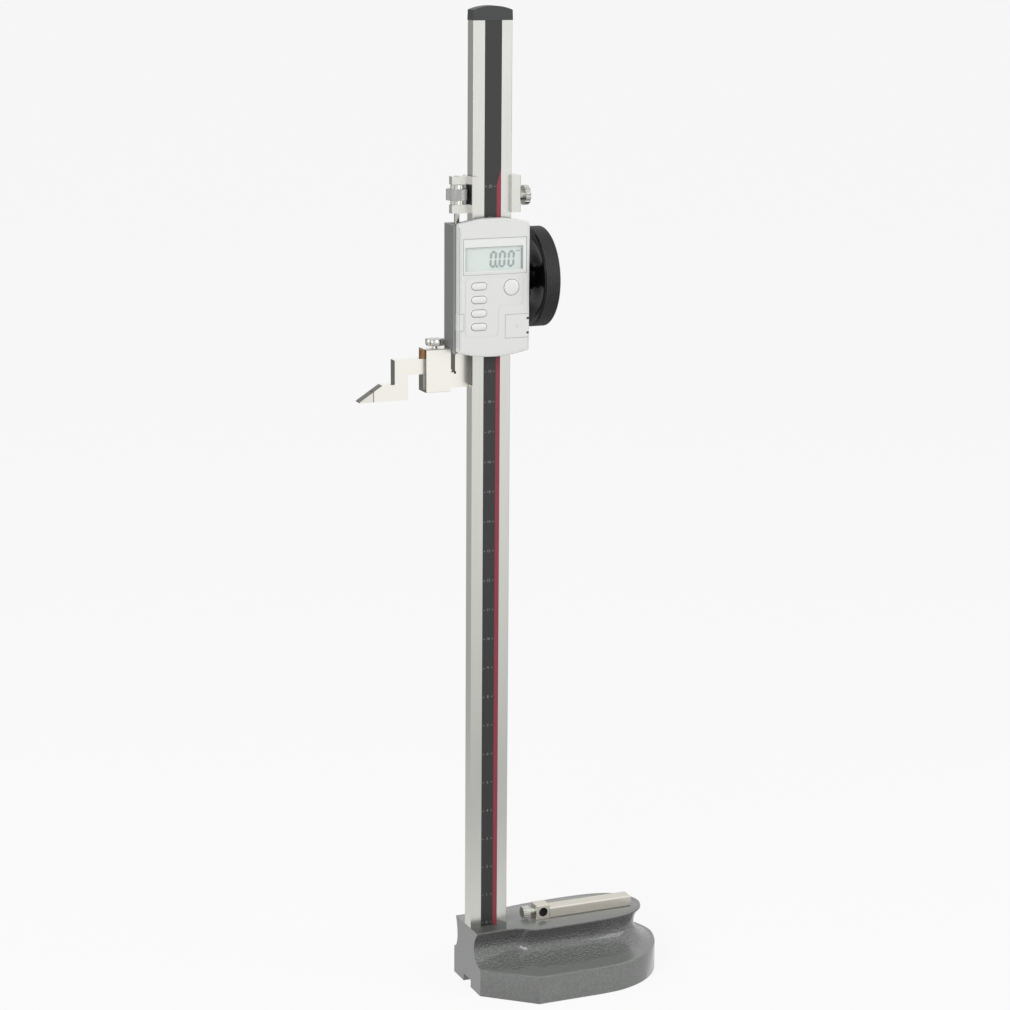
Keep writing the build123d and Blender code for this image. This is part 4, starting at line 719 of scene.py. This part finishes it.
class GAUGE_OT_display(GaugeOperator):
    """Draws the figures on the display and prints the frame on its lens"""
    bl_idname = "gauge.display"
    bl_label = "Display"

    def execute(self, context):
        _, sizes, _ = self.settings()
        front = PANEL_LOW.y - MARK_THICKNESS
        foot = PANEL_LOW.z + READING_FOOT
        last = PANEL_HIGH.x - READING_RIGHT
        shapes = []
        for i, figure in enumerate(reversed(READING)):
            left = last - sizes.digit_width - i * sizes.digit_step
            for outline in figure_outlines(figure, sizes.digit_width, sizes.digit_height, sizes.segment_width):
                shapes.append(plate([(left + x, foot + z) for x, z in outline], front, PANEL_LOW.y))
        point_x = last - sizes.digit_width - sizes.digit_step - POINT_LEFT
        dot = sizes.segment_width / 2
        top = foot + sizes.digit_height
        right = PANEL_HIGH.x - PANEL_MARGIN
        # The point, the dash, and a painted shade line at the display's right end.
        for low, high in (((point_x - dot, foot), (point_x + dot, foot + 2 * dot)),
                          ((last + DASH_FROM, top - dot), (last + DASH_TO, top)),
                          ((right - EDGE_LINE, foot - EDGE_REACH), (right, top + EDGE_REACH))):
            shapes.append(slab((low[0], front, low[1]), (high[0], PANEL_LOW.y, high[1])))
        piece("display_figures", *gather(shapes), self.finish("segment"), "carriage", "lcd_glass")
        sill = slab((LENS_LOW.x, LENS_LOW.y - SILL_PROUD, LENS_LOW.z - PRINT_MARGIN),
                    (LENS_HIGH.x, LENS_LOW.y + MARK_THICKNESS, LENS_LOW.z + SILL_HEIGHT))
        piece("window_sill", *sill, self.finish("module_silver"), "carriage", "module_silver")
        margin = Vector((PRINT_MARGIN, 0, PRINT_MARGIN))
        outer_low, outer_high = LENS_LOW + margin, LENS_HIGH - margin
        left, low, high = PANEL_LOW.x + PANEL_MARGIN, PANEL_LOW.z + PANEL_MARGIN, PANEL_HIGH.z - PANEL_MARGIN
        print_front = LENS_LOW.y - MARK_THICKNESS
        bands = [((outer_low.x, high), (outer_high.x, outer_high.z)),
                 ((outer_low.x, outer_low.z + SILL_HEIGHT), (outer_high.x, low)),
                 ((outer_low.x, low), (left, high)), ((right, low), (outer_high.x, high))]
        frame_shapes = [slab((a[0], print_front, a[1]), (b[0], LENS_LOW.y + MARK_THICKNESS, b[1])) for a, b in bands]
        piece("window_frame", *gather(frame_shapes), self.finish("print_white"), "carriage", "window_clear")
        face, line = BEZEL_LOW.y, SEAM_SHADE
        port_low, port_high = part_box("port_cover")
        hatch_low, hatch_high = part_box("battery_hatch")
        seam_shades = []
        for low, high, sides in (
                ((LENS_LOW.x, LENS_LOW.z), (LENS_HIGH.x, LENS_HIGH.z), "left right foot top"),
                ((BEZEL_LOW.x + line, port_low.z), (port_high.x, port_high.z), "right foot top"),
                ((hatch_low.x, hatch_low.z), (BEZEL_HIGH.x - 2 * line, hatch_high.z), "left foot top")):
            edges = {"left": ((low[0] - line, low[1] - line), (low[0], high[1] + line)),
                     "right": ((high[0], low[1] - line), (high[0] + line, high[1] + line)),
                     "foot": ((low[0], low[1] - line), (high[0], low[1])),
                     "top": ((low[0], high[1]), (high[0], high[1] + line))}
            seam_shades += [edges[side] for side in sides.split()]
        # Painted shade along the bezel's rounded left edge.
        left = BEZEL_LOW.x + CORNER_INSET
        seam_shades.append(((left, BEZEL_LOW.z + CORNER_DROP), (left + line, BEZEL_HIGH.z - CORNER_DROP)))
        piece("module_seam_shades", *gather([slab((a[0], face - MARK_THICKNESS, a[1]), (b[0], face + MARK_THICKNESS, b[1]))
                                       for a, b in seam_shades]), self.finish("seam"), "carriage", "module_silver")
        low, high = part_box("slider_frame")
        edge = slab((low.x - CASE_PROUD, BEZEL_HIGH.y + CASE_GAP, low.z), (low.x, CASE_BACK, high.z))
        piece("case_edge", *edge, self.finish("case_grey"), "carriage", "case_grey")
        bead = slab((low.x - BEAD_PROUD, CASE_BACK, low.z), (low.x, CASE_BACK + CASE_BEAD, high.z))
        piece("case_bead", *bead, self.finish("silver_bead"), "carriage", "case_grey")
        return {"FINISHED"}


# ---------------------------------------------------------------- grips
RIM_RADIUS = (WHEEL_HIGH.z - WHEEL_LOW.z) / 2
WHEEL_CENTRE = (WHEEL_LOW + WHEEL_HIGH) / 2
RIM_WIDTH = 12.2 * MM
GRIP_LEFT, GRIP_RIGHT = 1.3 * MM, 1.2 * MM      # bare edge on the left, reach past the right face
GRIP_PROUD = 0.5 * MM
GROOVE_DEPTH = 0.35 * MM
RING_DEPTH = 1.6 * MM
RING_RIDGES = 60


class GAUGE_OT_grips(GaugeOperator):
    """Cuts the fine grooves round the handwheel's rim"""
    bl_idname = "gauge.grips"
    bl_label = "Grips"

    def execute(self, context):
        _, sizes, _ = self.settings()
        left, right = WHEEL_HIGH.x - RIM_WIDTH + GRIP_LEFT, WHEEL_HIGH.x + GRIP_RIGHT
        top, bottom = RIM_RADIUS + GRIP_PROUD, RIM_RADIUS - RING_DEPTH
        grooves = round((right - left) / sizes.grip_pitch)
        pitch = (right - left) / grooves
        profile = [(left, bottom, 0)]
        for i in range(grooves):
            start = left + i * pitch
            profile += [(start + 0.02 * pitch, top - GROOVE_DEPTH, 0), (start + 0.2 * pitch, top, 0),
                        (start + 0.75 * pitch, top, 0), (start + 0.95 * pitch, top - GROOVE_DEPTH, 0)]
        profile.append((right, bottom, 0))
        wheel_axis = (0, WHEEL_CENTRE.y, WHEEL_CENTRE.z)
        piece("handwheel_grip", *ridged_lathe(wheel_axis, 0, profile, RING_RIDGES), self.finish("grip"),
              "handwheel_set", "wheel_black", smooth_angle=20)
        return {"FINISHED"}


KEY_RISE = 0.45 * MM
KEY_DOME_STEPS = 6
KEY_FLANGE = 0.8 * MM            # the key's hidden flange is this much wider than its cap
KEY_GAP = 0.5 * MM
NOTCH, NOTCH_RISE = Vector((2.2 * MM, 0.9 * MM)), 3.6 * MM
NOTCH_INSET = 0.5 * MM
ARROW = 0.9 * MM


class GAUGE_OT_keys(GaugeOperator):
    """Domes the tops of the four small keys and the round one, and marks the gaps and the hatch"""
    bl_idname = "gauge.keys"
    bl_label = "Keys"

    def execute(self, context):
        gaps = []
        for node in KEYS:
            low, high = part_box(node)
            radius = min(high.x - low.x, high.z - low.z) / 2 - KEY_FLANGE
            reach = (high.x - low.x) / 2 - KEY_FLANGE - radius
            middle = ((low.x + high.x) / 2, (low.z + high.z) / 2)
            points, faces = [], []
            for j in range(KEY_DOME_STEPS + 1):
                share = pi / 2 * j / KEY_DOME_STEPS
                y = low.y + MARK_THICKNESS - KEY_RISE * sin(share)
                points += [(x, y, z) for x, z in slot_outline(middle, reach, (radius - MARK_THICKNESS) * cos(share))]
            ring = len(points) // (KEY_DOME_STEPS + 1)
            for j in range(KEY_DOME_STEPS):
                faces += [(j * ring + k, j * ring + (k + 1) % ring, (j + 1) * ring + (k + 1) % ring,
                           (j + 1) * ring + k) for k in range(ring)]
            inner, outer = (slot_outline(middle, reach, radius + grow) for grow in (0.05 * MM, KEY_GAP))
            gap_front = BEZEL_LOW.y - MARK_THICKNESS
            gaps.append(([(x, gap_front, z) for x, z in inner + outer],
                         [(k, (k + 1) % ring, ring + (k + 1) % ring, ring + k) for k in range(ring)]))
            faces.append(tuple(reversed(range(ring))))
            piece(f"{node}_dome", points, faces, self.finish("key_silver"), node, "module_silver",
                  smooth_angle=60)
        piece("key_gaps", *gather(gaps), self.finish("shadow_line"), "carriage", "module_silver")
        low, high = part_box("battery_hatch")
        front = low.y - MARK_THICKNESS
        # Painted shade: two near-black patches at the hatch's right edge for the shade in its notches.
        notches = [slab((high.x - NOTCH.x, front, z - NOTCH.y),
                        (high.x - NOTCH_INSET, low.y + MARK_THICKNESS, z + NOTCH.y))
                   for z in (low.z + NOTCH_RISE, high.z - NOTCH_RISE)]
        piece("hatch_notch_shades", *gather(notches), self.finish("gap"), "battery_hatch", "module_silver")
        middle = ((low.x + high.x) / 2, (low.z + high.z) / 2)
        arrow = [(middle[0] + dx * ARROW, middle[1] + dz * ARROW) for dx, dz in ((-0.6, -1), (1, 0), (-0.6, 1))]
        piece("hatch_arrow", *plate(arrow, front, low.y + MARK_THICKNESS), self.finish("print_white"),
              "battery_hatch", "module_silver")
        return {"FINISHED"}


COLLAR_SHARE = 0.64
COLLAR_HEIGHT = 3.6 * MM
COLLAR_TOP_HEIGHT = 3.45 * MM
COLLAR_LOBES, LOBE_DEPTH = 6, 0.9 * MM
KNURL_DEPTH = 0.22 * MM
CARRIER_WALL = COLUMN_LOW.x - 2.2 * MM          # the carrier's left wall, between its lugs
GAP_PROUD = 0.06 * MM
LIP_DEPTH, LIP_PROUD = 2 * MM, 0.05 * MM
LIP_REACH = 3.3 * MM             # how far the carrier's left lip reaches over the column's front
GAP_FROM, GAP_TO = (-9.4 * MM, 677.4 * MM), (3.0 * MM, 693.6 * MM)


class GAUGE_OT_nut(GaugeOperator):
    """Turns the adjusting nut with its two collars and a fine straight knurl"""
    bl_idname = "gauge.nut"
    bl_label = "Adjusting nut"

    def execute(self, context):
        _, sizes, _ = self.settings()
        radius = (NUT_HIGH.x - NUT_LOW.x) / 2
        middle = ((NUT_LOW.x + NUT_HIGH.x) / 2, (NUT_LOW.y + NUT_HIGH.y) / 2, 0)
        bore = (ROD_HIGH.x - ROD_LOW.x) / 2 + 0.05 * MM
        collar = radius * COLLAR_SHARE
        low, high = NUT_LOW.z + COLLAR_HEIGHT, NUT_HIGH.z - COLLAR_TOP_HEIGHT
        edge = 0.15 * MM
        profile = [(low, bore, 0), (low, radius - KNURL_DEPTH - edge, 0), (low + edge, radius, KNURL_DEPTH),
                   (high - edge, radius, KNURL_DEPTH), (high, radius - KNURL_DEPTH - edge, 0), (high, bore, 0)]
        nut = piece("knurled_nut", *ridged_lathe(middle, 2, profile, round(tau * radius / sizes.knurl_pitch)),
                    self.finish("fine_knurl"), "adjusting_nut", "knurled_steel", smooth_angle=20)
        collars = []
        for foot, head in ((NUT_LOW.z, low + edge), (high - edge, NUT_HIGH.z)):
            waist = collar - 2 * edge
            profile = [(foot, bore, 0), (foot, waist, LOBE_DEPTH), (foot + edge, collar, LOBE_DEPTH),
                       (head - edge, collar, LOBE_DEPTH), (head, waist, LOBE_DEPTH), (head, bore, 0)]
            collars.append(ridged_lathe(middle, 2, profile, COLLAR_LOBES))
        piece("nut_collars", *gather(collars), self.finish("knurled_steel"), "adjusting_nut", "knurled_steel",
              smooth_angle=50)
        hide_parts("adjusting_nut")
        # Painted shade: a near-black sheet on the carrier's left wall between its lugs, where shade falls behind the
        # nut.
        recess = slab((CARRIER_WALL - GAP_PROUD, *GAP_FROM), (CARRIER_WALL + GAP_PROUD, *GAP_TO))
        piece("carrier_recess_shade", *recess, self.finish("gap"), "carrier", "ground_steel")
        lip = slab((COLUMN_LOW.x - LIP_DEPTH, CARRIER_LOW.y - LIP_PROUD, CARRIER_LOW.z),
                   (COLUMN_LOW.x + LIP_REACH, CARRIER_LOW.y + LIP_DEPTH, CARRIER_HIGH.z))
        piece("carrier_lip", *lip, self.finish("ground_steel"), "carrier", "ground_steel")
        return {"FINISHED"}


# ---------------------------------------------------------------- scriber and clamp
SCRIBER_LOW, SCRIBER_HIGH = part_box("scriber")
TIP_LOW, TIP_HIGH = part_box("carbide_tip")
CLAMP_LOW, CLAMP_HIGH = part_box("clamp_box")
CLAMP_SCREW_LOW, CLAMP_SCREW_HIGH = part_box("clamp_screw")
JAW_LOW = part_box("jaw_arm")[0]
FOOT_RISE = 13.3 * MM            # height of the scriber's foot above its measuring edge
TIP_RISE = 0.8 * MM
BEVEL_BACK = 19.6 * MM           # from the measuring edge to the top of the bevel
LEG_BACK, LEG_WIDTH = 30.4 * MM, 11.6 * MM
BAR_RISE = 12.7 * MM
TIP_JOINT = 12.3 * MM            # from the measuring edge to the carbide's joint
JOINT_GAP = 0.12 * MM
BRAZE_WIDTH = 0.7 * MM
KNOB_LOBES, KNOB_DEPTH, KNOB_NECK = 8, 1.5 * MM, 2.3 * MM
KNOB_SHAFT, KNOB_CENTRE, KNOB_CHAMFER = 2 * MM, 0.1 * MM, 0.6 * MM
PAD_HALF, PAD_REACH, PAD_SEAT = 4.75 * MM, 3.0 * MM, 3 * MM
RELIEF_RADIUS, RELIEF_DROP = 0.95 * MM, 0.5 * MM
SHADE_SHEET, SHADE_SHEET_RISE = (0.1 * MM, 0.25 * MM), 2 * MM     # painted shade sheet behind the jaw: its two faces left of the column, and its foot above the jaw's
JAW_LEFT, JAW_TOP = COLUMN_LOW.x - 11.7 * MM, JAW_LOW.z + BAR_RISE      # the inner corner of the jaw


class GAUGE_OT_scriber(GaugeOperator):
    """Shapes the cranked scriber with its carbide tip, and the clamp's knob and pad"""
    bl_idname = "gauge.scriber"
    bl_label = "Scriber and clamp"

    def execute(self, context):
        edge, foot, right = TIP_LOW.x, SCRIBER_LOW.z, SCRIBER_HIGH.x
        leg, top, joint = edge + LEG_BACK, SCRIBER_HIGH.z, edge + TIP_JOINT
        slope = (FOOT_RISE - TIP_RISE) / BEVEL_BACK
        blade = [(joint, foot), (joint, foot + TIP_RISE + slope * TIP_JOINT), (edge + BEVEL_BACK, foot + FOOT_RISE),
                 (leg, foot + FOOT_RISE), (leg, top), (right, top), (right, top - BAR_RISE),
                 (leg + LEG_WIDTH, top - BAR_RISE), (leg + LEG_WIDTH, foot)]
        steel = piece("scriber_blade", *plate(blade, SCRIBER_LOW.y, SCRIBER_HIGH.y), self.finish("lapped"),
                      "scriber", "ground_steel")
        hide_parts("scriber")
        joint -= JOINT_GAP
        tip = [(edge, foot), (edge, foot + TIP_RISE), (joint, foot + TIP_RISE + slope * (joint - edge)), (joint, foot)]
        carbide = piece("carbide_edge", *plate(tip, TIP_LOW.y, TIP_HIGH.y), self.finish("carbide"),
                        "scriber", "carbide")
        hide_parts("carbide_tip")
        seam = joint - BRAZE_WIDTH
        braze = [(seam, foot), (seam, foot + TIP_RISE + slope * (seam - edge)),
                 (joint, foot + TIP_RISE + slope * (joint - edge)), (joint, foot)]
        piece("brazed_joint", *plate(braze, SCRIBER_LOW.y - MARK_THICKNESS, SCRIBER_HIGH.y), self.finish("braze"),
              "scriber", "carbide")
        low, high = CLAMP_SCREW_LOW.z, CLAMP_SCREW_HIGH.z
        radius = (CLAMP_SCREW_HIGH.x - CLAMP_SCREW_LOW.x) / 2
        shaft, centre, chamfer = KNOB_SHAFT, KNOB_CENTRE, KNOB_CHAMFER
        head = CLAMP_HIGH.z + KNOB_NECK
        profile = [(low, centre, 0), (low, shaft, 0), (head, shaft, 0), (head, radius - chamfer, KNOB_DEPTH),
                   (head + chamfer, radius, KNOB_DEPTH), (high - chamfer, radius, KNOB_DEPTH),
                   (high, radius - chamfer, KNOB_DEPTH), (high, centre, 0)]
        middle = ((CLAMP_SCREW_LOW.x + CLAMP_SCREW_HIGH.x) / 2, (CLAMP_SCREW_LOW.y + CLAMP_SCREW_HIGH.y) / 2, 0)
        knob = piece("clamp_knob", *ridged_lathe(middle, 2, profile, KNOB_LOBES), self.finish("knurled_steel"),
                     "clamp_screw", "knurled_steel", smooth_angle=50)
        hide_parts("clamp_screw")
        pad = [(CLAMP_LOW.x - PAD_REACH + PAD_HALF * (1 - sin(pi * k / 12)), middle[1] + PAD_HALF * cos(pi * k / 12))
               for k in range(13)]
        pad += [(CLAMP_LOW.x + PAD_SEAT, middle[1] - PAD_HALF), (CLAMP_LOW.x + PAD_SEAT, middle[1] + PAD_HALF)]
        piece("clamp_pad_end", *upright(pad, top + 0.2 * MM, CLAMP_HIGH.z - 0.3 * MM), self.finish("bronze"),
              "clamp", "bronze", smooth_angle=40)
        # Painted shade: a dark sheet on the column's left face behind the jaw.
        liner = slab((COLUMN_LOW.x - SHADE_SHEET[1], COLUMN_LOW.y, JAW_LOW.z + SHADE_SHEET_RISE),
                     (COLUMN_LOW.x - SHADE_SHEET[0], JAW_LOW.y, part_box("slider_frame")[0].z))
        piece("jaw_left_shade", *liner, self.finish("skin"), "carriage", "ground_steel")
        # Painted shade: a black disc on the jaw's front for the dark of its drilled corner relief.
        relief = slot_outline((JAW_LEFT, JAW_TOP - RELIEF_DROP), 0, RELIEF_RADIUS)
        piece("jaw_relief_shade", *plate(relief, JAW_LOW.y - MARK_THICKNESS, JAW_LOW.y + MM), self.finish("gap"),
              "carriage", "ground_steel")
        return {"FINISHED"}


# ---------------------------------------------------------------- studio
CAMERA_PLACE = (-0.86326, -2.01074, 0.91942)
CAMERA_YAW, CAMERA_PITCH, CAMERA_ROLL = 23.06, 12.78, 0.38      # degrees
FOCAL_LENGTH, SENSOR_WIDTH = 95.26, 36.0                        # millimetres on the sensor
FLOOR_SIZE = 80.0
RAMP_REACH = 4.0                 # the floor's distance from the gauge, in metres, at the end of the ramps below
# How bright polished metal shows the floor, as (share of the ramp's reach, level): in front of the gauge and behind.
FLOOR_BEFORE = ((0.045, 0.87), (0.125, 0.52), (0.23, 0.75), (0.36, 0.80), (0.55, 0.95), (1.0, 1.0))
FLOOR_BEHIND = ((0.045, 0.81), (0.125, 0.62), (0.23, 0.48), (0.55, 0.50), (0.85, 0.45), (1.0, 0.40))
DARK_SIDE = (-0.385, 0.923, 0.0)     # the unlit end of the studio lies this way
DARK_EDGE, DARK_LEVEL = (0.78, 0.97), 0.26       # where it begins and ends, as the cosine of the angle, and its level
ROOM_LEVEL = 0.42                # how brightly the room itself lights the gauge


def aimed(place, target):
    """Returns the matrix of a lamp at a place, pointing at a target."""
    return Matrix.Translation(place) @ (Vector(target) - Vector(place)).to_track_quat("-Z", "Y").to_matrix().to_4x4()


class GAUGE_OT_studio(GaugeOperator):
    """Sets up the pale floor, the soft lamps, the surroundings and the camera"""
    bl_idname = "gauge.studio"
    bl_label = "Studio"

    def execute(self, context):
        _, _, stage = self.settings()
        scene = context.scene
        half = FLOOR_SIZE / 2
        floor_mesh = bpy.data.meshes.new("floor")
        floor_mesh.from_pydata([(-half, -half, 0), (half, -half, 0), (half, half, 0), (-half, half, 0)],
                               [], [(0, 1, 2, 3)])
        floor = bpy.data.objects.new("floor", floor_mesh)
        scene.collection.objects.link(floor)
        floor_mesh.materials.append(studio_floor(stage))
        for name, power, size, place in (("key_lamp", stage.key_power, (1.6, 1.6), (-2.1, -1.7, 1.9)),
                                         ("fill_lamp", stage.fill_power, (1.4, 1.8), (1.9, -1.6, 1.2))):
            lamp = bpy.data.lights.new(name, "AREA")
            lamp.shape, lamp.size, lamp.size_y, lamp.energy = "RECTANGLE", *size, power
            holder = bpy.data.objects.new(name, lamp)
            holder.matrix_world = aimed(place, (0, 0, 0.4))
            scene.collection.objects.link(holder)
        scene.world = surroundings(stage)
        yaw, pitch, roll = radians(CAMERA_YAW), radians(CAMERA_PITCH), radians(CAMERA_ROLL)
        forward = Vector((sin(yaw) * cos(pitch), cos(yaw) * cos(pitch), -sin(pitch)))
        right = Vector((cos(yaw), -sin(yaw), 0))
        up = right.cross(forward)
        x_axis = cos(roll) * right + sin(roll) * up
        y_axis = cos(roll) * up - sin(roll) * right
        eye = bpy.data.cameras.new("camera")
        eye.lens, eye.sensor_width, eye.clip_end = FOCAL_LENGTH, SENSOR_WIDTH, 200
        camera = bpy.data.objects.new("camera", eye)
        camera.matrix_world = Matrix.Translation(CAMERA_PLACE) @ Matrix(
            (x_axis, y_axis, -forward)).transposed().to_4x4()
        scene.collection.objects.link(camera)
        scene.camera = camera
        scene.view_settings.view_transform = "Standard"
        return {"FINISHED"}


def studio_floor(stage):
    """Matt white studio paper: bright to the eye, with a soft part of the gauge's shadow.

    Polished metal shows it brightest at the gauge's foot and darker towards the unlit end of the studio.
    """
    material = bpy.data.materials.new("studio_paper")
    material.use_nodes = True
    material.node_tree.nodes.clear()
    tree = material.node_tree
    where = add(tree, "ShaderNodeNewGeometry")
    fibre = add(tree, "ShaderNodeTexNoise", {"Vector": where.outputs["Position"], "Scale": 1 / (40 * MM)})
    tone = add(tree, "ShaderNodeMix", {
        MIX_FACTOR: fibre.outputs["Fac"], MIX_A: stage.floor, MIX_B: shade(stage.floor, 0.985)}, data_type="RGBA")
    paper = add(tree, "ShaderNodeBsdfDiffuse", {"Color": tone.outputs[MIX_RESULT]})
    glow = add(tree, "ShaderNodeEmission", {"Color": stage.floor, "Strength": 1.0})
    seen = add(tree, "ShaderNodeMixShader", {0: 0.9, 1: paper.outputs["BSDF"], 2: glow.outputs["Emission"]})
    bounce = add(tree, "ShaderNodeBsdfDiffuse", {"Color": shade(stage.floor, 0.6)})
    distance = add(tree, "ShaderNodeVectorMath", {0: where.outputs["Position"]}, operation="LENGTH")
    share = add(tree, "ShaderNodeMath", {0: distance.outputs["Value"], 1: RAMP_REACH}, operation="DIVIDE")
    levels = []
    for stops in (FLOOR_BEFORE, FLOOR_BEHIND):
        ramp = add(tree, "ShaderNodeValToRGB", {"Fac": share.outputs["Value"]})
        for place, level in stops:
            ramp.color_ramp.elements.new(place).color = (level, level, level, 1)
        ramp.color_ramp.elements[0].color = (stops[0][1],) * 3 + (1,)
        levels.append(ramp.outputs["Color"])
    axes = add(tree, "ShaderNodeSeparateXYZ", {"Vector": where.outputs["Position"]})
    behind = add(tree, "ShaderNodeMapRange", {"Value": axes.outputs["Y"], "From Min": -0.1, "From Max": 0.1})
    level = add(tree, "ShaderNodeMix", {MIX_FACTOR: behind.outputs["Result"], MIX_A: levels[0], MIX_B: levels[1]},
                data_type="RGBA")
    mirrored = add(tree, "ShaderNodeEmission", {"Color": level.outputs[MIX_RESULT], "Strength": 1.0})
    rays = add(tree, "ShaderNodeLightPath")
    unseen = add(tree, "ShaderNodeMixShader", {
        0: rays.outputs["Is Glossy Ray"], 1: bounce.outputs["BSDF"], 2: mirrored.outputs["Emission"]})
    direct = add(tree, "ShaderNodeMath", {0: rays.outputs["Is Camera Ray"], 1: rays.outputs["Is Transmission Ray"]},
                 operation="MAXIMUM")
    both = add(tree, "ShaderNodeMixShader", {
        0: direct.outputs["Value"], 1: unseen.outputs["Shader"], 2: seen.outputs["Shader"]})
    add(tree, "ShaderNodeOutputMaterial", {"Surface": both.outputs["Shader"]})
    return material


def surroundings(stage):
    """The studio round the gauge: white to the eye, and to metal a white room with one unlit end."""
    world = bpy.data.worlds.new("studio")
    world.use_nodes = True
    world.node_tree.nodes.clear()
    tree = world.node_tree
    where = add(tree, "ShaderNodeTexCoord")
    towards = add(tree, "ShaderNodeVectorMath", {0: where.outputs["Generated"], 1: DARK_SIDE},
                  operation="DOT_PRODUCT")
    unlit = add(tree, "ShaderNodeMapRange", {
        "Value": towards.outputs["Value"], "From Min": DARK_EDGE[0], "From Max": DARK_EDGE[1],
        "To Min": 1.0, "To Max": DARK_LEVEL}, interpolation_type="SMOOTHSTEP")
    rays = add(tree, "ShaderNodeLightPath")
    sides = add(tree, "ShaderNodeBackground", {"Color": stage.backdrop, "Strength": unlit.outputs["Result"]})
    room = add(tree, "ShaderNodeBackground", {"Color": stage.backdrop, "Strength": ROOM_LEVEL})
    eye = add(tree, "ShaderNodeBackground", {"Color": stage.backdrop, "Strength": 1.0})
    mirrored = add(tree, "ShaderNodeMixShader", {
        0: rays.outputs["Is Glossy Ray"], 1: room.outputs["Background"], 2: sides.outputs["Background"]})
    direct = add(tree, "ShaderNodeMath", {0: rays.outputs["Is Camera Ray"], 1: rays.outputs["Is Transmission Ray"]},
                 operation="MAXIMUM")
    both = add(tree, "ShaderNodeMixShader", {
        0: direct.outputs["Value"], 1: mirrored.outputs["Shader"], 2: eye.outputs["Background"]})
    add(tree, "ShaderNodeOutputWorld", {"Surface": both.outputs["Shader"]})
    return world


class GAUGE_PT_panel(bpy.types.Panel):
    """Lists the gauge's sizes, colours and operators in the sidebar"""
    bl_idname = "GAUGE_PT_panel"
    bl_label = "Height gauge"
    bl_space_type = "VIEW_3D"
    bl_region_type = "UI"
    bl_category = "Height gauge"

    def draw(self, context):
        scene = context.scene
        for group in (scene.gauge_colours, scene.gauge_sizes, scene.gauge_stage):
            box = self.layout.box()
            for name in group.bl_rna.properties.keys():
                if name not in ("rna_type", "name"):
                    box.prop(group, name)
        for operator in OPERATORS:
            self.layout.operator(operator.bl_idname)


OPERATORS = (GAUGE_OT_finishes, GAUGE_OT_base, GAUGE_OT_scale, GAUGE_OT_display, GAUGE_OT_grips, GAUGE_OT_keys,
             GAUGE_OT_nut, GAUGE_OT_scriber, GAUGE_OT_studio)
CLASSES = (GaugeColours, GaugeSizes, GaugeStage, *OPERATORS, GAUGE_PT_panel)


def register():
    for kind in CLASSES:
        bpy.utils.register_class(kind)
    bpy.types.Scene.gauge_colours = bpy.props.PointerProperty(type=GaugeColours)
    bpy.types.Scene.gauge_sizes = bpy.props.PointerProperty(type=GaugeSizes)
    bpy.types.Scene.gauge_stage = bpy.props.PointerProperty(type=GaugeStage)


def unregister():
    del bpy.types.Scene.gauge_colours, bpy.types.Scene.gauge_sizes, bpy.types.Scene.gauge_stage
    for kind in reversed(CLASSES):
        bpy.utils.unregister_class(kind)


def main():
    register()
    for operator in OPERATORS:
        group, name = operator.bl_idname.split(".")
        getattr(getattr(bpy.ops, group), name)()


if __name__ == "__main__":
    main()
